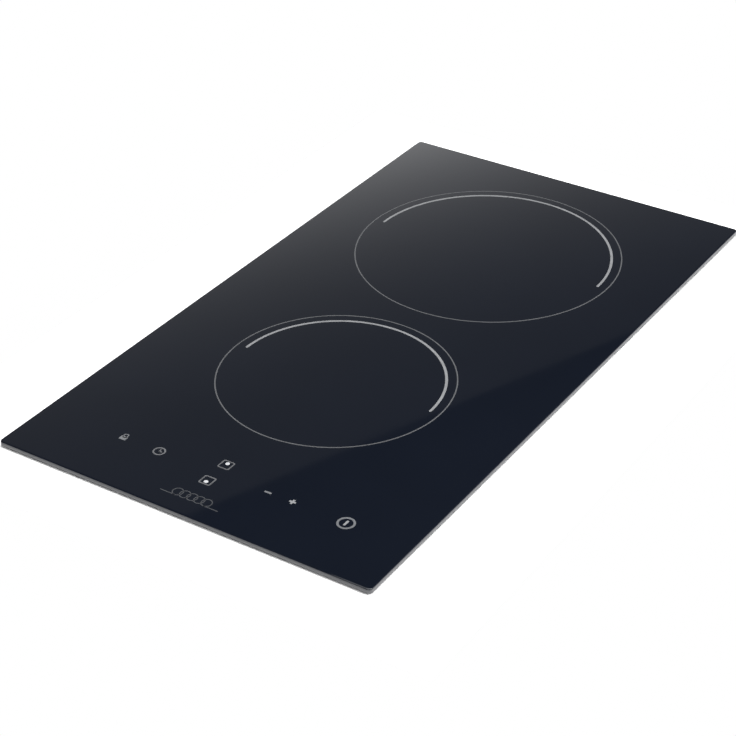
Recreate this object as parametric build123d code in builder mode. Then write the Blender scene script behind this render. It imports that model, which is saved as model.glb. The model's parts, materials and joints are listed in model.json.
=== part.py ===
from build123d import *

import os
from math import cos, radians, sin

# Two-zone built-in induction cooktop, 288 x 520 mm, modelled as it comes apart on a bench.
#
# Units are millimetres. X runs to the right, Y towards the back and Z up. The user stands at -Y.
# The origin is under the middle of the casing, on the plane of its base, so the worktop's surface is at
# Z = 50, the underside of the glass at Z = 52 and the cooking surface at Z = 56.

# ---------------------------------------------------------------- driving dimensions

GLASS_WIDTH = 288.0
GLASS_DEPTH = 520.0
GLASS_THICKNESS = 4.0
GLASS_CORNER = 3.0
GLASS_EDGE = 0.8
PRINT_THICKNESS = 0.05

CUTOUT_WIDTH = 268.0
CUTOUT_DEPTH = 500.0
CUTOUT_CORNER = 5.0
SEAL_WIDTH = 7.0
SEAL_THICKNESS = 2.0

BODY_HEIGHT = 50.0
BODY_WIDTH = 258.0
BODY_DEPTH = 476.0
BODY_CORNER = 4.0
SHEET = 1.0

# Each zone: name, middle, radius of its printed circle, radius of its coil, number of ferrite bars and
# the place on the board where its leads end.
ZONES = [
    ("rear", 125.2, 100.4, 90.0, 8, 92.0),
    ("front", -80.4, 82.6, 72.0, 6, -96.0),
]

FAN_X = -72.0
FAN_Y = 168.0
FAN_RADIUS = 38.0

CLAMP_Y = 244.0

# ---------------------------------------------------------------- heights worked out from them

SEAT_Z = BODY_HEIGHT
GLASS_Z = SEAT_Z + SEAL_THICKNESS
TOP_Z = GLASS_Z + GLASS_THICKNESS

FRAME_TOP_Z = GLASS_Z - 0.6
FRAME_LEG_Z = 40.0
DECK_Z = 29.0
DECK_TOP_Z = DECK_Z + SHEET
BOARD_Z = 4.0
BOARD_THICKNESS = 1.6
BOARD_TOP_Z = BOARD_Z + BOARD_THICKNESS

MICA_TOP_Z = GLASS_Z - 0.3
MICA_THICKNESS = 0.8
COIL_THICKNESS = 4.5
FORMER_THICKNESS = 2.0
FERRITE_THICKNESS = 4.0
COIL_TOP_Z = MICA_TOP_Z - MICA_THICKNESS
FORMER_TOP_Z = COIL_TOP_Z - COIL_THICKNESS
FERRITE_TOP_Z = FORMER_TOP_Z - FORMER_THICKNESS
PLATE_TOP_Z = FERRITE_TOP_Z - FERRITE_THICKNESS
PLATE_Z = PLATE_TOP_Z - SHEET

RUNNING = 0.05
SCREW_RADIUS = 1.5

os.makedirs("parts", exist_ok=True)


def save(piece, label):
    """Name a finished piece and write it as a STEP file of its own."""
    piece.part.label = label
    export_step(piece.part, f"parts/{label}.step")


# ---------------------------------------------------------------- glass and what is fixed to it

with BuildPart() as glass_top:
    with BuildSketch(Plane.XY.offset(GLASS_Z)):
        RectangleRounded(GLASS_WIDTH, GLASS_DEPTH, GLASS_CORNER)
    extrude(amount=GLASS_THICKNESS)
    fillet(glass_top.edges().group_by(Axis.Z)[-1], GLASS_EDGE)
    fillet(glass_top.edges().group_by(Axis.Z)[0], GLASS_EDGE)
save(glass_top, "glass_top")

# The touch keys lie on one line, with the two zone keys either side of it.
KEY_LINE_Y = -212.8
LOCK_X = -77.5
TIMER_X = -48.3
TIMER_Y = -213.6
ZONE_KEY_X = -2.7
ZONE_KEY_STEP = 10.0
MINUS_X = 37.1
PLUS_X = 55.8
POWER_X = 96.0
POWER_Y = -213.2
KEY_POINTS = [
    (LOCK_X, KEY_LINE_Y),
    (TIMER_X, TIMER_Y),
    (ZONE_KEY_X, KEY_LINE_Y + ZONE_KEY_STEP),
    (ZONE_KEY_X, KEY_LINE_Y - ZONE_KEY_STEP),
    (MINUS_X, KEY_LINE_Y),
    (PLUS_X, KEY_LINE_Y),
    (POWER_X, POWER_Y),
]

RING_WIDTH = 0.9
ARC_WIDTH = 1.9
ARC_INSET = 7.5
MARK_Y = -242.2
MARK_LOOP_RADIUS = 3.6
MARK_PITCH = 5.6
MARK_LINE = 0.7

with BuildPart() as glass_print:
    with BuildSketch(Plane.XY.offset(TOP_Z)):
        # A thin circle for each zone, with a bolder half circle inside its back half.
        for _, zone_y, zone_radius, _, _, _ in ZONES:
            arc_radius = zone_radius - ARC_INSET
            with BuildSketch(mode=Mode.PRIVATE) as zone_lines:
                Circle(zone_radius + RING_WIDTH / 2)
                Circle(zone_radius - RING_WIDTH / 2, mode=Mode.SUBTRACT)
            with BuildSketch(mode=Mode.PRIVATE) as half_circle:
                Circle(arc_radius + ARC_WIDTH / 2)
                Circle(arc_radius - ARC_WIDTH / 2, mode=Mode.SUBTRACT)
                front_half = (Align.CENTER, Align.MAX)
                Rectangle(3 * zone_radius, 2 * zone_radius, align=front_half, mode=Mode.SUBTRACT)
            with Locations((0, zone_y)):
                add(zone_lines.sketch)
                add(half_circle.sketch)
        # Padlock: body and shackle.
        with Locations((LOCK_X, KEY_LINE_Y + 1.3)):
            SlotOverall(4.8, 3.7, rotation=90)
            SlotOverall(3.2, 2.1, rotation=90, mode=Mode.SUBTRACT)
        with Locations((LOCK_X, KEY_LINE_Y - 1.3)):
            RectangleRounded(5.2, 4.0, 0.6)
        # Timer: a dial with its hands.
        with Locations((TIMER_X, TIMER_Y)):
            Circle(4.4)
            Circle(3.3, mode=Mode.SUBTRACT)
        with Locations((TIMER_X, TIMER_Y + 0.9)):
            Rectangle(0.9, 2.7)
        with Locations((TIMER_X + 1.0, TIMER_Y)):
            Rectangle(2.4, 0.9)
        # Zone keys: an outlined square with a dot towards the zone that it selects.
        for side in (1, -1):
            with Locations((ZONE_KEY_X, KEY_LINE_Y + side * ZONE_KEY_STEP)):
                RectangleRounded(9.0, 9.0, 1.3)
                RectangleRounded(7.0, 7.0, 0.7, mode=Mode.SUBTRACT)
            with Locations((ZONE_KEY_X, KEY_LINE_Y + side * (ZONE_KEY_STEP + 1.5))):
                Circle(1.5)
        # Minus and plus.
        with Locations((MINUS_X, KEY_LINE_Y)):
            Rectangle(5.2, 1.5)
        with Locations((PLUS_X, KEY_LINE_Y)):
            Rectangle(4.8, 1.5)
            Rectangle(1.5, 4.8)
        # Power: a ring with a bar inside.
        with Locations((POWER_X, POWER_Y)):
            Circle(6.1)
            Circle(4.6, mode=Mode.SUBTRACT)
            RectangleRounded(1.6, 5.2, 0.5)
        # A generic coil symbol near the front edge: overlapping loops on a base line.
        with BuildSketch(mode=Mode.PRIVATE) as loop:
            Circle(MARK_LOOP_RADIUS + MARK_LINE / 2)
            Circle(MARK_LOOP_RADIUS - MARK_LINE / 2, mode=Mode.SUBTRACT)
        with Locations((0, MARK_Y)):
            with GridLocations(MARK_PITCH, 0, 5, 1):
                add(loop.sketch)
        with Locations((0, MARK_Y - MARK_LOOP_RADIUS)):
            with GridLocations(6 * MARK_PITCH, 0, 2, 1):
                Rectangle(2 * MARK_PITCH, MARK_LINE)
    extrude(amount=PRINT_THICKNESS)
save(glass_print, "glass_print")


def make_ring(z, height, outer_width, outer_depth, outer_corner, inner_width, inner_depth, inner_corner):
    """Flat rectangular ring with rounded corners."""
    with BuildPart() as ring:
        with BuildSketch(Plane.XY.offset(z)):
            RectangleRounded(outer_width, outer_depth, outer_corner)
            RectangleRounded(inner_width, inner_depth, inner_corner, mode=Mode.SUBTRACT)
        extrude(amount=height)
    return ring


perimeter_seal = make_ring(
    SEAT_Z,
    SEAL_THICKNESS,
    CUTOUT_WIDTH + 2 * SEAL_WIDTH,
    CUTOUT_DEPTH + 2 * SEAL_WIDTH,
    CUTOUT_CORNER + 2.0,
    CUTOUT_WIDTH,
    CUTOUT_DEPTH,
    CUTOUT_CORNER,
)
save(perimeter_seal, "perimeter_seal")

FRAME_WIDTH = BODY_WIDTH + 2 * SHEET
FRAME_DEPTH = BODY_DEPTH + 2 * SHEET
FRAME_FLANGE = 8.0
BEAD_INSET = 1.5

adhesive_bead = make_ring(
    FRAME_TOP_Z,
    GLASS_Z - FRAME_TOP_Z,
    FRAME_WIDTH - 2 * BEAD_INSET,
    FRAME_DEPTH - 2 * BEAD_INSET,
    BODY_CORNER,
    FRAME_WIDTH - 2 * (FRAME_FLANGE - BEAD_INSET),
    FRAME_DEPTH - 2 * (FRAME_FLANGE - BEAD_INSET),
    BODY_CORNER,
)
save(adhesive_bead, "adhesive_bead")

# Screws that hold the casing to the frame: three a side and two an end.
FRAME_SCREW_Z = 45.0
SIDE_SCREW_Y = (-150.0, 0.0, 150.0)
END_SCREW_X = (-85.0, 85.0)
FRAME_SCREW_RADIUS = 1.65
FRAME_HOLE_RADIUS = 1.75


def frame_screw_planes(offset):
    """Planes that look outwards at each frame screw, offset mm outside the frame's faces."""
    planes = []
    for side in (1, -1):
        for y in SIDE_SCREW_Y:
            planes.append(Plane((side * (FRAME_WIDTH / 2 + offset), y, FRAME_SCREW_Z), z_dir=(side, 0, 0)))
        for x in END_SCREW_X:
            planes.append(Plane((x, side * (FRAME_DEPTH / 2 + offset), FRAME_SCREW_Z), z_dir=(0, side, 0)))
    return planes


with BuildPart() as glass_frame:
    with BuildSketch(Plane.XY.offset(FRAME_TOP_Z - SHEET)):
        RectangleRounded(FRAME_WIDTH, FRAME_DEPTH, BODY_CORNER + SHEET)
        RectangleRounded(
            FRAME_WIDTH - 2 * FRAME_FLANGE, FRAME_DEPTH - 2 * FRAME_FLANGE, BODY_CORNER, mode=Mode.SUBTRACT
        )
    extrude(amount=SHEET)
    with BuildSketch(Plane.XY.offset(FRAME_LEG_Z)):
        RectangleRounded(FRAME_WIDTH, FRAME_DEPTH, BODY_CORNER + SHEET)
        RectangleRounded(BODY_WIDTH, BODY_DEPTH, BODY_CORNER, mode=Mode.SUBTRACT)
    extrude(amount=FRAME_TOP_Z - SHEET - FRAME_LEG_Z)
    for plane in frame_screw_planes(0):
        with BuildSketch(plane):
            Circle(FRAME_HOLE_RADIUS)
        extrude(amount=-2 * SHEET, mode=Mode.SUBTRACT)
save(glass_frame, "glass_frame")

with BuildPart() as frame_screws:
    for plane in frame_screw_planes(0):
        with BuildSketch(plane):
            Circle(3.2)
        extrude(amount=1.9, taper=20)
        with BuildSketch(plane.offset(1.9)):
            Rectangle(3.6, 0.8)
            Rectangle(0.8, 3.6)
        extrude(amount=-1.1, mode=Mode.SUBTRACT)
        with BuildSketch(plane):
            Circle(FRAME_SCREW_RADIUS)
        extrude(amount=-6.0)
save(frame_screws, "frame_screws")

# ---------------------------------------------------------------- casing

POST_X = 119.0
POST_Y = (-222.0, -70.0, 100.0, 226.0)
POST_RADIUS = 4.0
POST_POINTS = [(side * POST_X, y) for side in (-1, 1) for y in POST_Y]

TERMINAL_X = 55.0
TERMINAL_Y = 199.5
TERMINAL_WIDTH = 74.0
TERMINAL_DEPTH = 72.8
TERMINAL_WALL = 2.0
TERMINAL_ROOF_Z = 26.0
TERMINAL_FRONT_Y = TERMINAL_Y - TERMINAL_DEPTH / 2
TERMINAL_BACK_Y = TERMINAL_Y + TERMINAL_DEPTH / 2
ACCESS_WIDTH = 68.0
ACCESS_FRONT_Y = TERMINAL_FRONT_Y + 1.0
ACCESS_BACK_Y = TERMINAL_BACK_Y - 3.0
INLET_Z = 14.0
INLET_RADIUS = 6.5

TRAY_BEND = 2.0
INTAKE_SLOTS = 18
INTAKE_RADIUS = 22.0
INTAKE_WIDTH = 3.0
OUTLET_SLOTS = 20
OUTLET_PITCH = 8.0
OUTLET_Z = 17.0
OUTLET_HEIGHT = 16.0
OUTLET_WIDTH = 3.2
SIDE_OUTLET_SLOTS = 12
SIDE_OUTLET_Y = -10.0

with BuildPart() as casing_tray:
    with BuildSketch():
        RectangleRounded(BODY_WIDTH, BODY_DEPTH, BODY_CORNER)
    extrude(amount=BODY_HEIGHT)
    fillet(casing_tray.edges().group_by(Axis.Z)[0], TRAY_BEND)
    offset(amount=-SHEET, openings=casing_tray.faces().sort_by(Axis.Z)[-1])
    # Intake slots in rings under the fan.
    with BuildSketch(Plane((FAN_X, FAN_Y, 0))):
        with PolarLocations(INTAKE_RADIUS, INTAKE_SLOTS):
            SlotOverall(12.0, INTAKE_WIDTH)
        with PolarLocations(INTAKE_RADIUS / 3 + 1.0, INTAKE_SLOTS // 3):
            SlotOverall(8.0, INTAKE_WIDTH)
    extrude(amount=SHEET, mode=Mode.SUBTRACT)
    # Outlet slots across the front wall.
    with BuildSketch(Plane((0, -BODY_DEPTH / 2, OUTLET_Z), x_dir=(1, 0, 0), z_dir=(0, -1, 0))):
        with GridLocations(OUTLET_PITCH, 0, OUTLET_SLOTS, 1):
            SlotOverall(OUTLET_HEIGHT, OUTLET_WIDTH, rotation=90)
    extrude(amount=-2 * SHEET, mode=Mode.SUBTRACT)
    # Side outlets, level with the heat sink.
    for side in (-1, 1):
        wall_middle = (side * BODY_WIDTH / 2, SIDE_OUTLET_Y, OUTLET_Z)
        with BuildSketch(Plane(wall_middle, x_dir=(0, side, 0), z_dir=(side, 0, 0))):
            with GridLocations(OUTLET_PITCH, 0, SIDE_OUTLET_SLOTS, 1):
                SlotOverall(OUTLET_HEIGHT - 2.0, OUTLET_WIDTH, rotation=90)
        extrude(amount=-2 * SHEET, mode=Mode.SUBTRACT)
    # Opening over the terminal box, closed by its hinged cover.
    with BuildSketch():
        with Locations((TERMINAL_X, (ACCESS_FRONT_Y + ACCESS_BACK_Y) / 2)):
            RectangleRounded(ACCESS_WIDTH, ACCESS_BACK_Y - ACCESS_FRONT_Y, 1.5)
    extrude(amount=SHEET, mode=Mode.SUBTRACT)
    # Cable inlet through the back wall.
    with BuildSketch(Plane((TERMINAL_X, BODY_DEPTH / 2, INLET_Z), z_dir=(0, 1, 0))):
        Circle(INLET_RADIUS)
    extrude(amount=-2 * SHEET, mode=Mode.SUBTRACT)
    # Holes for the frame screws.
    for plane in frame_screw_planes(-SHEET):
        with BuildSketch(plane):
            Circle(FRAME_HOLE_RADIUS)
        extrude(amount=-2 * SHEET, mode=Mode.SUBTRACT)
save(casing_tray, "casing_tray")

# ---------------------------------------------------------------- deck that carries the coils

SPRING_COUNT = 4
SPRING_INSET = 22.0
PEG_RADIUS = 2.6
DECK_PEG_HEIGHT = 3.0
PLATE_PEG_HEIGHT = 2.0
PIN_COUNT = 3
PIN_OUTSET = 6.5
PIN_RADIUS = 2.0
PIN_LENGTH = 17.0
PIN_TURN = 90.0
LEAD_GAP = 10.0
LEAD_END_X = 14.0
LEAD_RADIUS = 1.5
COIL_TERMINAL_Z = BOARD_TOP_Z + 4.0
RIBBON_Y = -172.0

with BuildPart() as coil_deck:
    with BuildSketch(Plane.XY.offset(DECK_Z)):
        RectangleRounded(BODY_WIDTH - 2 * SHEET - 1.0, BODY_DEPTH - 2 * SHEET - 1.0, 3.0)
        with Locations(*POST_POINTS):
            Circle(2.2, mode=Mode.SUBTRACT)
        with Locations((0, RIBBON_Y)):
            SlotOverall(34.0, 6.0, mode=Mode.SUBTRACT)
        for _, zone_y, _, coil_radius, _, _ in ZONES:
            with Locations((0, zone_y)):
                SlotOverall(26.0, 10.0, mode=Mode.SUBTRACT)
            with Locations((0, zone_y)):
                with PolarLocations(coil_radius + PIN_OUTSET, PIN_COUNT, start_angle=PIN_TURN):
                    Circle(PIN_RADIUS, mode=Mode.SUBTRACT)
    extrude(amount=SHEET)
    # Pegs that keep the springs in place.
    for _, zone_y, _, coil_radius, _, _ in ZONES:
        with BuildSketch(Plane((0, zone_y, DECK_TOP_Z))):
            with PolarLocations(coil_radius - SPRING_INSET, SPRING_COUNT, start_angle=45):
                Circle(PEG_RADIUS)
        extrude(amount=DECK_PEG_HEIGHT)
save(coil_deck, "coil_deck")

with BuildPart() as deck_posts:
    with BuildSketch(Plane.XY.offset(SHEET)):
        with Locations(*POST_POINTS):
            RegularPolygon(POST_RADIUS, 6)
            Circle(1.7, mode=Mode.SUBTRACT)
    extrude(amount=DECK_Z - SHEET)
save(deck_posts, "deck_posts")

# ---------------------------------------------------------------- coil packs

HUB_RADIUS = 20.0
HUB_WALL = 1.5
PLATE_OUTSET = 10.0
FORMER_OUTSET = 3.0
FORMER_RIM = 2.0
FERRITE_WIDTH = 13.0
SENSOR_RADIUS = 6.0
LITZ_PITCH = 3.5
SPRING_WIRE = 0.4
SPRING_RADIUS = 4.0
SPRING_TURNS = 4


def make_coil_plate(zone_y, coil_radius):
    """Aluminium carrier with holes for the leads and the guide pins, and pegs for the springs."""
    with BuildPart() as plate:
        with BuildSketch(Plane((0, zone_y, PLATE_Z))):
            Circle(coil_radius + PLATE_OUTSET)
            SlotOverall(24.0, 8.0, mode=Mode.SUBTRACT)
            with PolarLocations(coil_radius + PIN_OUTSET, PIN_COUNT, start_angle=PIN_TURN):
                Circle(PIN_RADIUS + RUNNING, mode=Mode.SUBTRACT)
        extrude(amount=SHEET)
        with BuildSketch(Plane((0, zone_y, PLATE_Z))):
            with PolarLocations(coil_radius - SPRING_INSET, SPRING_COUNT, start_angle=45):
                Circle(PEG_RADIUS)
        extrude(amount=-PLATE_PEG_HEIGHT)
    return plate


def make_ferrite_bars(zone_y, coil_radius, count):
    """Ferrite bars, laid like spokes under the winding."""
    length = coil_radius - HUB_RADIUS - 8.0
    with BuildPart() as bars:
        with BuildSketch(Plane((0, zone_y, PLATE_TOP_Z))):
            with PolarLocations((coil_radius + HUB_RADIUS) / 2, count, start_angle=180.0 / count):
                RectangleRounded(length, FERRITE_WIDTH, 0.8)
        extrude(amount=FERRITE_THICKNESS)
    return bars


def make_coil_former(zone_y, coil_radius):
    """Plastic former: a disc with a rim outside the winding and a hub inside it."""
    with BuildPart() as former:
        with BuildSketch(Plane((0, zone_y, FERRITE_TOP_Z))):
            Circle(coil_radius + FORMER_OUTSET)
            Circle(HUB_RADIUS - 2 * HUB_WALL, mode=Mode.SUBTRACT)
        extrude(amount=FORMER_THICKNESS)
        with BuildSketch(Plane((0, zone_y, FORMER_TOP_Z))):
            Circle(coil_radius + FORMER_OUTSET)
            Circle(coil_radius + FORMER_OUTSET - FORMER_RIM, mode=Mode.SUBTRACT)
        extrude(amount=COIL_THICKNESS - 0.5)
        with BuildSketch(Plane((0, zone_y, FORMER_TOP_Z))):
            Circle(HUB_RADIUS - HUB_WALL / 2)
            Circle(HUB_RADIUS - 2 * HUB_WALL, mode=Mode.SUBTRACT)
        extrude(amount=COIL_THICKNESS - 0.5)
    return former


def make_litz_coil(zone_y, coil_radius):
    """Pancake winding of litz wire: touching turns, round on top."""
    turns = int((coil_radius - HUB_RADIUS) / LITZ_PITCH)
    inner = coil_radius - turns * LITZ_PITCH
    shoulder = COIL_THICKNESS - LITZ_PITCH / 2
    with BuildPart() as coil:
        with BuildSketch(Plane((0, zone_y, FORMER_TOP_Z), x_dir=(1, 0, 0), z_dir=(0, -1, 0))):
            with BuildLine():
                Polyline((inner, shoulder), (inner, 0), (coil_radius, 0), (coil_radius, shoulder))
                for turn in range(turns):
                    outer_x = coil_radius - turn * LITZ_PITCH
                    ThreePointArc(
                        (outer_x, shoulder),
                        (outer_x - LITZ_PITCH / 2, COIL_THICKNESS),
                        (outer_x - LITZ_PITCH, shoulder),
                    )
            make_face()
        revolve(axis=Axis((0, zone_y, 0), (0, 0, 1)))
    return coil


def make_mica_sheet(zone_y, coil_radius):
    """Insulating sheet between the winding and the glass."""
    with BuildPart() as mica:
        with BuildSketch(Plane((0, zone_y, COIL_TOP_Z))):
            Circle(coil_radius + 4.0)
            Circle(SENSOR_RADIUS + 0.5, mode=Mode.SUBTRACT)
        extrude(amount=MICA_THICKNESS)
    return mica


def make_temperature_sensor(zone_y):
    """Silicone bung that presses a thermistor bead against the glass."""
    with BuildPart() as sensor:
        with BuildSketch(Plane((0, zone_y, FERRITE_TOP_Z))):
            Circle(SENSOR_RADIUS)
        extrude(amount=MICA_TOP_Z - FERRITE_TOP_Z)
        with BuildSketch(Plane((0, zone_y, PLATE_TOP_Z))):
            Circle(SENSOR_RADIUS + 2.0)
        extrude(amount=FERRITE_THICKNESS)
        fillet(sensor.edges().group_by(Axis.Z)[-1], 1.0)
    return sensor


def make_coil_springs(zone_y, coil_radius):
    """Compression springs that press the pack up against the glass."""
    rise = PLATE_Z - DECK_TOP_Z - 2 * SPRING_WIRE
    with BuildPart() as springs:
        for index in range(SPRING_COUNT):
            angle = radians(45.0 + index * 360.0 / SPRING_COUNT)
            reach = coil_radius - SPRING_INSET
            centre = (reach * cos(angle), zone_y + reach * sin(angle), DECK_TOP_Z + SPRING_WIRE)
            with BuildLine():
                wire = Helix(pitch=rise / SPRING_TURNS, height=rise, radius=SPRING_RADIUS, center=centre)
            with BuildSketch(Plane(wire @ 0, z_dir=wire % 0)):
                Circle(SPRING_WIRE)
            sweep(path=wire)
    return springs


for zone, zone_y, _, coil_radius, bar_count, _ in ZONES:
    save(make_coil_plate(zone_y, coil_radius), f"{zone}_coil_plate")
    save(make_ferrite_bars(zone_y, coil_radius, bar_count), f"{zone}_ferrite_bars")
    save(make_coil_former(zone_y, coil_radius), f"{zone}_coil_former")
    save(make_litz_coil(zone_y, coil_radius), f"{zone}_litz_coil")
    save(make_mica_sheet(zone_y, coil_radius), f"{zone}_mica_sheet")
    save(make_temperature_sensor(zone_y), f"{zone}_temperature_sensor")
    save(make_coil_springs(zone_y, coil_radius), f"{zone}_coil_springs")

with BuildPart() as guide_pins:
    for _, zone_y, _, coil_radius, _, _ in ZONES:
        with BuildSketch(Plane((0, zone_y, DECK_Z))):
            with PolarLocations(coil_radius + PIN_OUTSET, PIN_COUNT, start_angle=PIN_TURN):
                Circle(PIN_RADIUS)
        extrude(amount=PIN_LENGTH)
    chamfer(guide_pins.edges().group_by(Axis.Z)[-1], 0.6)
save(guide_pins, "guide_pins")

# ---------------------------------------------------------------- power electronics

BOARD_WIDTH = 224.0
BOARD_BACK_Y = 105.0
BOARD_FRONT_Y = -200.0
BOARD_STANDOFFS = [(x, y) for x in (-106.0, 0.0, 106.0) for y in (-192.0, -130.0, 101.0)]

with BuildPart() as power_board:
    with BuildSketch(Plane.XY.offset(BOARD_Z)):
        with Locations((0, (BOARD_BACK_Y + BOARD_FRONT_Y) / 2)):
            RectangleRounded(BOARD_WIDTH, BOARD_BACK_Y - BOARD_FRONT_Y, 2.0)
        with Locations(*BOARD_STANDOFFS):
            Circle(1.6, mode=Mode.SUBTRACT)
    extrude(amount=BOARD_THICKNESS)
save(power_board, "power_board")

with BuildPart() as board_standoffs:
    with BuildSketch(Plane.XY.offset(SHEET)):
        with Locations(*BOARD_STANDOFFS):
            Circle(3.5)
    extrude(amount=BOARD_Z - SHEET)
    with BuildSketch(Plane.XY.offset(BOARD_Z)):
        with Locations(*BOARD_STANDOFFS):
            Circle(1.5)
    extrude(amount=BOARD_THICKNESS)
    with BuildSketch(Plane.XY.offset(BOARD_TOP_Z)):
        with Locations(*BOARD_STANDOFFS):
            Circle(2.4)
    extrude(amount=1.6, taper=20)
save(board_standoffs, "board_standoffs")

SINK_X = -79.0
SINK_WIDTH = 66.0
SINK_FRONT_Y = -62.0
SINK_BACK_Y = 98.0
SINK_HEIGHT = 22.0
SINK_BASE = 4.0
SINK_FINS = 13
FIN_THICKNESS = 1.5
FIN_PITCH = 4.6
TRANSISTOR_WALL = 5.0

with BuildPart() as heat_sink:
    with BuildSketch(Plane((SINK_X, SINK_BACK_Y, BOARD_TOP_Z), x_dir=(1, 0, 0), z_dir=(0, -1, 0))):
        Rectangle(SINK_WIDTH, SINK_BASE, align=(Align.CENTER, Align.MIN))
        with Locations((SINK_WIDTH / 2, 0)):
            Rectangle(TRANSISTOR_WALL, SINK_HEIGHT, align=(Align.MAX, Align.MIN))
        for fin in range(SINK_FINS):
            with Locations((-SINK_WIDTH / 2 + fin * FIN_PITCH, 0)):
                Rectangle(FIN_THICKNESS, SINK_HEIGHT, align=(Align.MIN, Align.MIN))
    extrude(amount=SINK_BACK_Y - SINK_FRONT_Y)
save(heat_sink, "heat_sink")

TRANSISTOR_X = SINK_X + SINK_WIDTH / 2
TRANSISTOR_Y = (-40.0, -10.0, 20.0, 50.0, 80.0)

with BuildPart() as power_transistors:
    for y in TRANSISTOR_Y:
        with BuildSketch(Plane((TRANSISTOR_X, y, BOARD_TOP_Z + 11.5), x_dir=(0, 1, 0), z_dir=(1, 0, 0))):
            RectangleRounded(16.0, 20.0, 0.6)
        extrude(amount=5.0)
        for leg in (-5.5, 0, 5.5):
            with BuildSketch(Plane((TRANSISTOR_X + 2.5, y + leg, BOARD_TOP_Z))):
                Rectangle(0.8, 1.4)
            extrude(amount=1.5)
save(power_transistors, "power_transistors")

# Each choke: middle, outer radius, radius of its hole, height and rounding.
CHOKES = [
    (32.0, 62.0, 20.0, 8.0, 18.0, 4.0),
    (82.0, -50.0, 15.0, 6.0, 14.0, 3.0),
]

with BuildPart() as toroid_chokes:
    for x, y, outer, inner, height, rounding in CHOKES:
        with BuildSketch(Plane((x, y, BOARD_TOP_Z), x_dir=(1, 0, 0), z_dir=(0, -1, 0))):
            with Locations(((outer + inner) / 2, height / 2)):
                RectangleRounded(outer - inner, height, rounding)
        revolve(axis=Axis((x, y, 0), (0, 0, 1)))
save(toroid_chokes, "toroid_chokes")

CAPACITOR_HEIGHT = 20.0
FILM_POINTS = [(-20.0, 8.0), (2.0, 8.0), (24.0, 8.0), (66.0, 62.0), (86.0, 62.0)]
CAN_POINTS = [(16.0, -50.0), (32.0, -50.0), (48.0, -50.0)]

with BuildPart() as film_capacitors:
    with BuildSketch(Plane.XY.offset(BOARD_TOP_Z)):
        with Locations(*FILM_POINTS):
            RectangleRounded(17.0, 32.0, 1.0)
    extrude(amount=CAPACITOR_HEIGHT)
    fillet(film_capacitors.edges().group_by(Axis.Z)[-1], 0.8)
save(film_capacitors, "film_capacitors")

with BuildPart() as electrolytic_capacitors:
    with BuildSketch(Plane.XY.offset(BOARD_TOP_Z)):
        with Locations(*CAN_POINTS):
            Circle(6.3)
    extrude(amount=CAPACITOR_HEIGHT)
    fillet(electrolytic_capacitors.edges().group_by(Axis.Z)[-1], 1.0)
save(electrolytic_capacitors, "electrolytic_capacitors")

RELAY_POINTS = [(58.0, 8.0), (80.0, 8.0)]
TRANSFORMER_POINT = (60.0, -92.0)
BUZZER_POINT = (98.0, -92.0)
BUZZER_HEIGHT = 8.0

# Two relays, the transformer of the low-voltage supply and the buzzer.
with BuildPart() as board_modules:
    with BuildSketch(Plane.XY.offset(BOARD_TOP_Z)):
        with Locations(*RELAY_POINTS):
            RectangleRounded(16.0, 29.0, 0.8)
    extrude(amount=16.0)
    with BuildSketch(Plane.XY.offset(BOARD_TOP_Z)):
        with Locations(TRANSFORMER_POINT):
            Rectangle(22.0, 24.0)
    extrude(amount=18.0)
    with BuildSketch(Plane.XY.offset(BOARD_TOP_Z + 4.0)):
        with Locations(TRANSFORMER_POINT):
            Rectangle(28.0, 14.0)
    extrude(amount=10.0)
    with BuildSketch(Plane.XY.offset(BOARD_TOP_Z)):
        with Locations(BUZZER_POINT):
            Circle(7.0)
    extrude(amount=BUZZER_HEIGHT)
    with BuildSketch(Plane.XY.offset(BOARD_TOP_Z + BUZZER_HEIGHT)):
        with Locations(BUZZER_POINT):
            Circle(1.2)
    extrude(amount=-1.5, mode=Mode.SUBTRACT)
save(board_modules, "board_modules")

MAINS_WIRE_PITCH = 8.0
MAINS_WIRE_RADIUS = 1.5
MAINS_CONNECTOR_Z = BOARD_TOP_Z + 10.0

CONTROL_BOARD_Z = 44.0
CONTROL_TOP_Z = CONTROL_BOARD_Z + BOARD_THICKNESS
CONTROL_Y = -207.0
CONTROL_WIDTH = 218.0
CONTROL_DEPTH = 50.0
CONTROL_BACK_Y = CONTROL_Y + CONTROL_DEPTH / 2
RIBBON_PLUG_HEIGHT = 8.0

with BuildPart() as connectors:
    # Terminals of the two windings.
    with BuildSketch(Plane.XY.offset(BOARD_TOP_Z)):
        for _, _, _, _, _, lead_y in ZONES:
            with Locations((-LEAD_END_X, lead_y), (LEAD_END_X, lead_y)):
                Circle(3.5)
    extrude(amount=COIL_TERMINAL_Z - BOARD_TOP_Z)
    # Mains connector, and the plugs at both ends of the control ribbon.
    with BuildSketch(Plane.XY.offset(BOARD_TOP_Z)):
        with Locations((TERMINAL_X, 95.0)):
            Rectangle(30.0, 10.0)
    extrude(amount=MAINS_CONNECTOR_Z - BOARD_TOP_Z)
    with BuildSketch(Plane.XY.offset(BOARD_TOP_Z)):
        with Locations((0, RIBBON_Y)):
            Rectangle(32.0, 7.0)
    extrude(amount=RIBBON_PLUG_HEIGHT)
    with BuildSketch(Plane.XY.offset(CONTROL_TOP_Z)):
        with Locations((0, CONTROL_BACK_Y - 4.5)):
            Rectangle(32.0, 7.0)
    extrude(amount=4.2)
save(connectors, "connectors")

# ---------------------------------------------------------------- cooling fan

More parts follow.
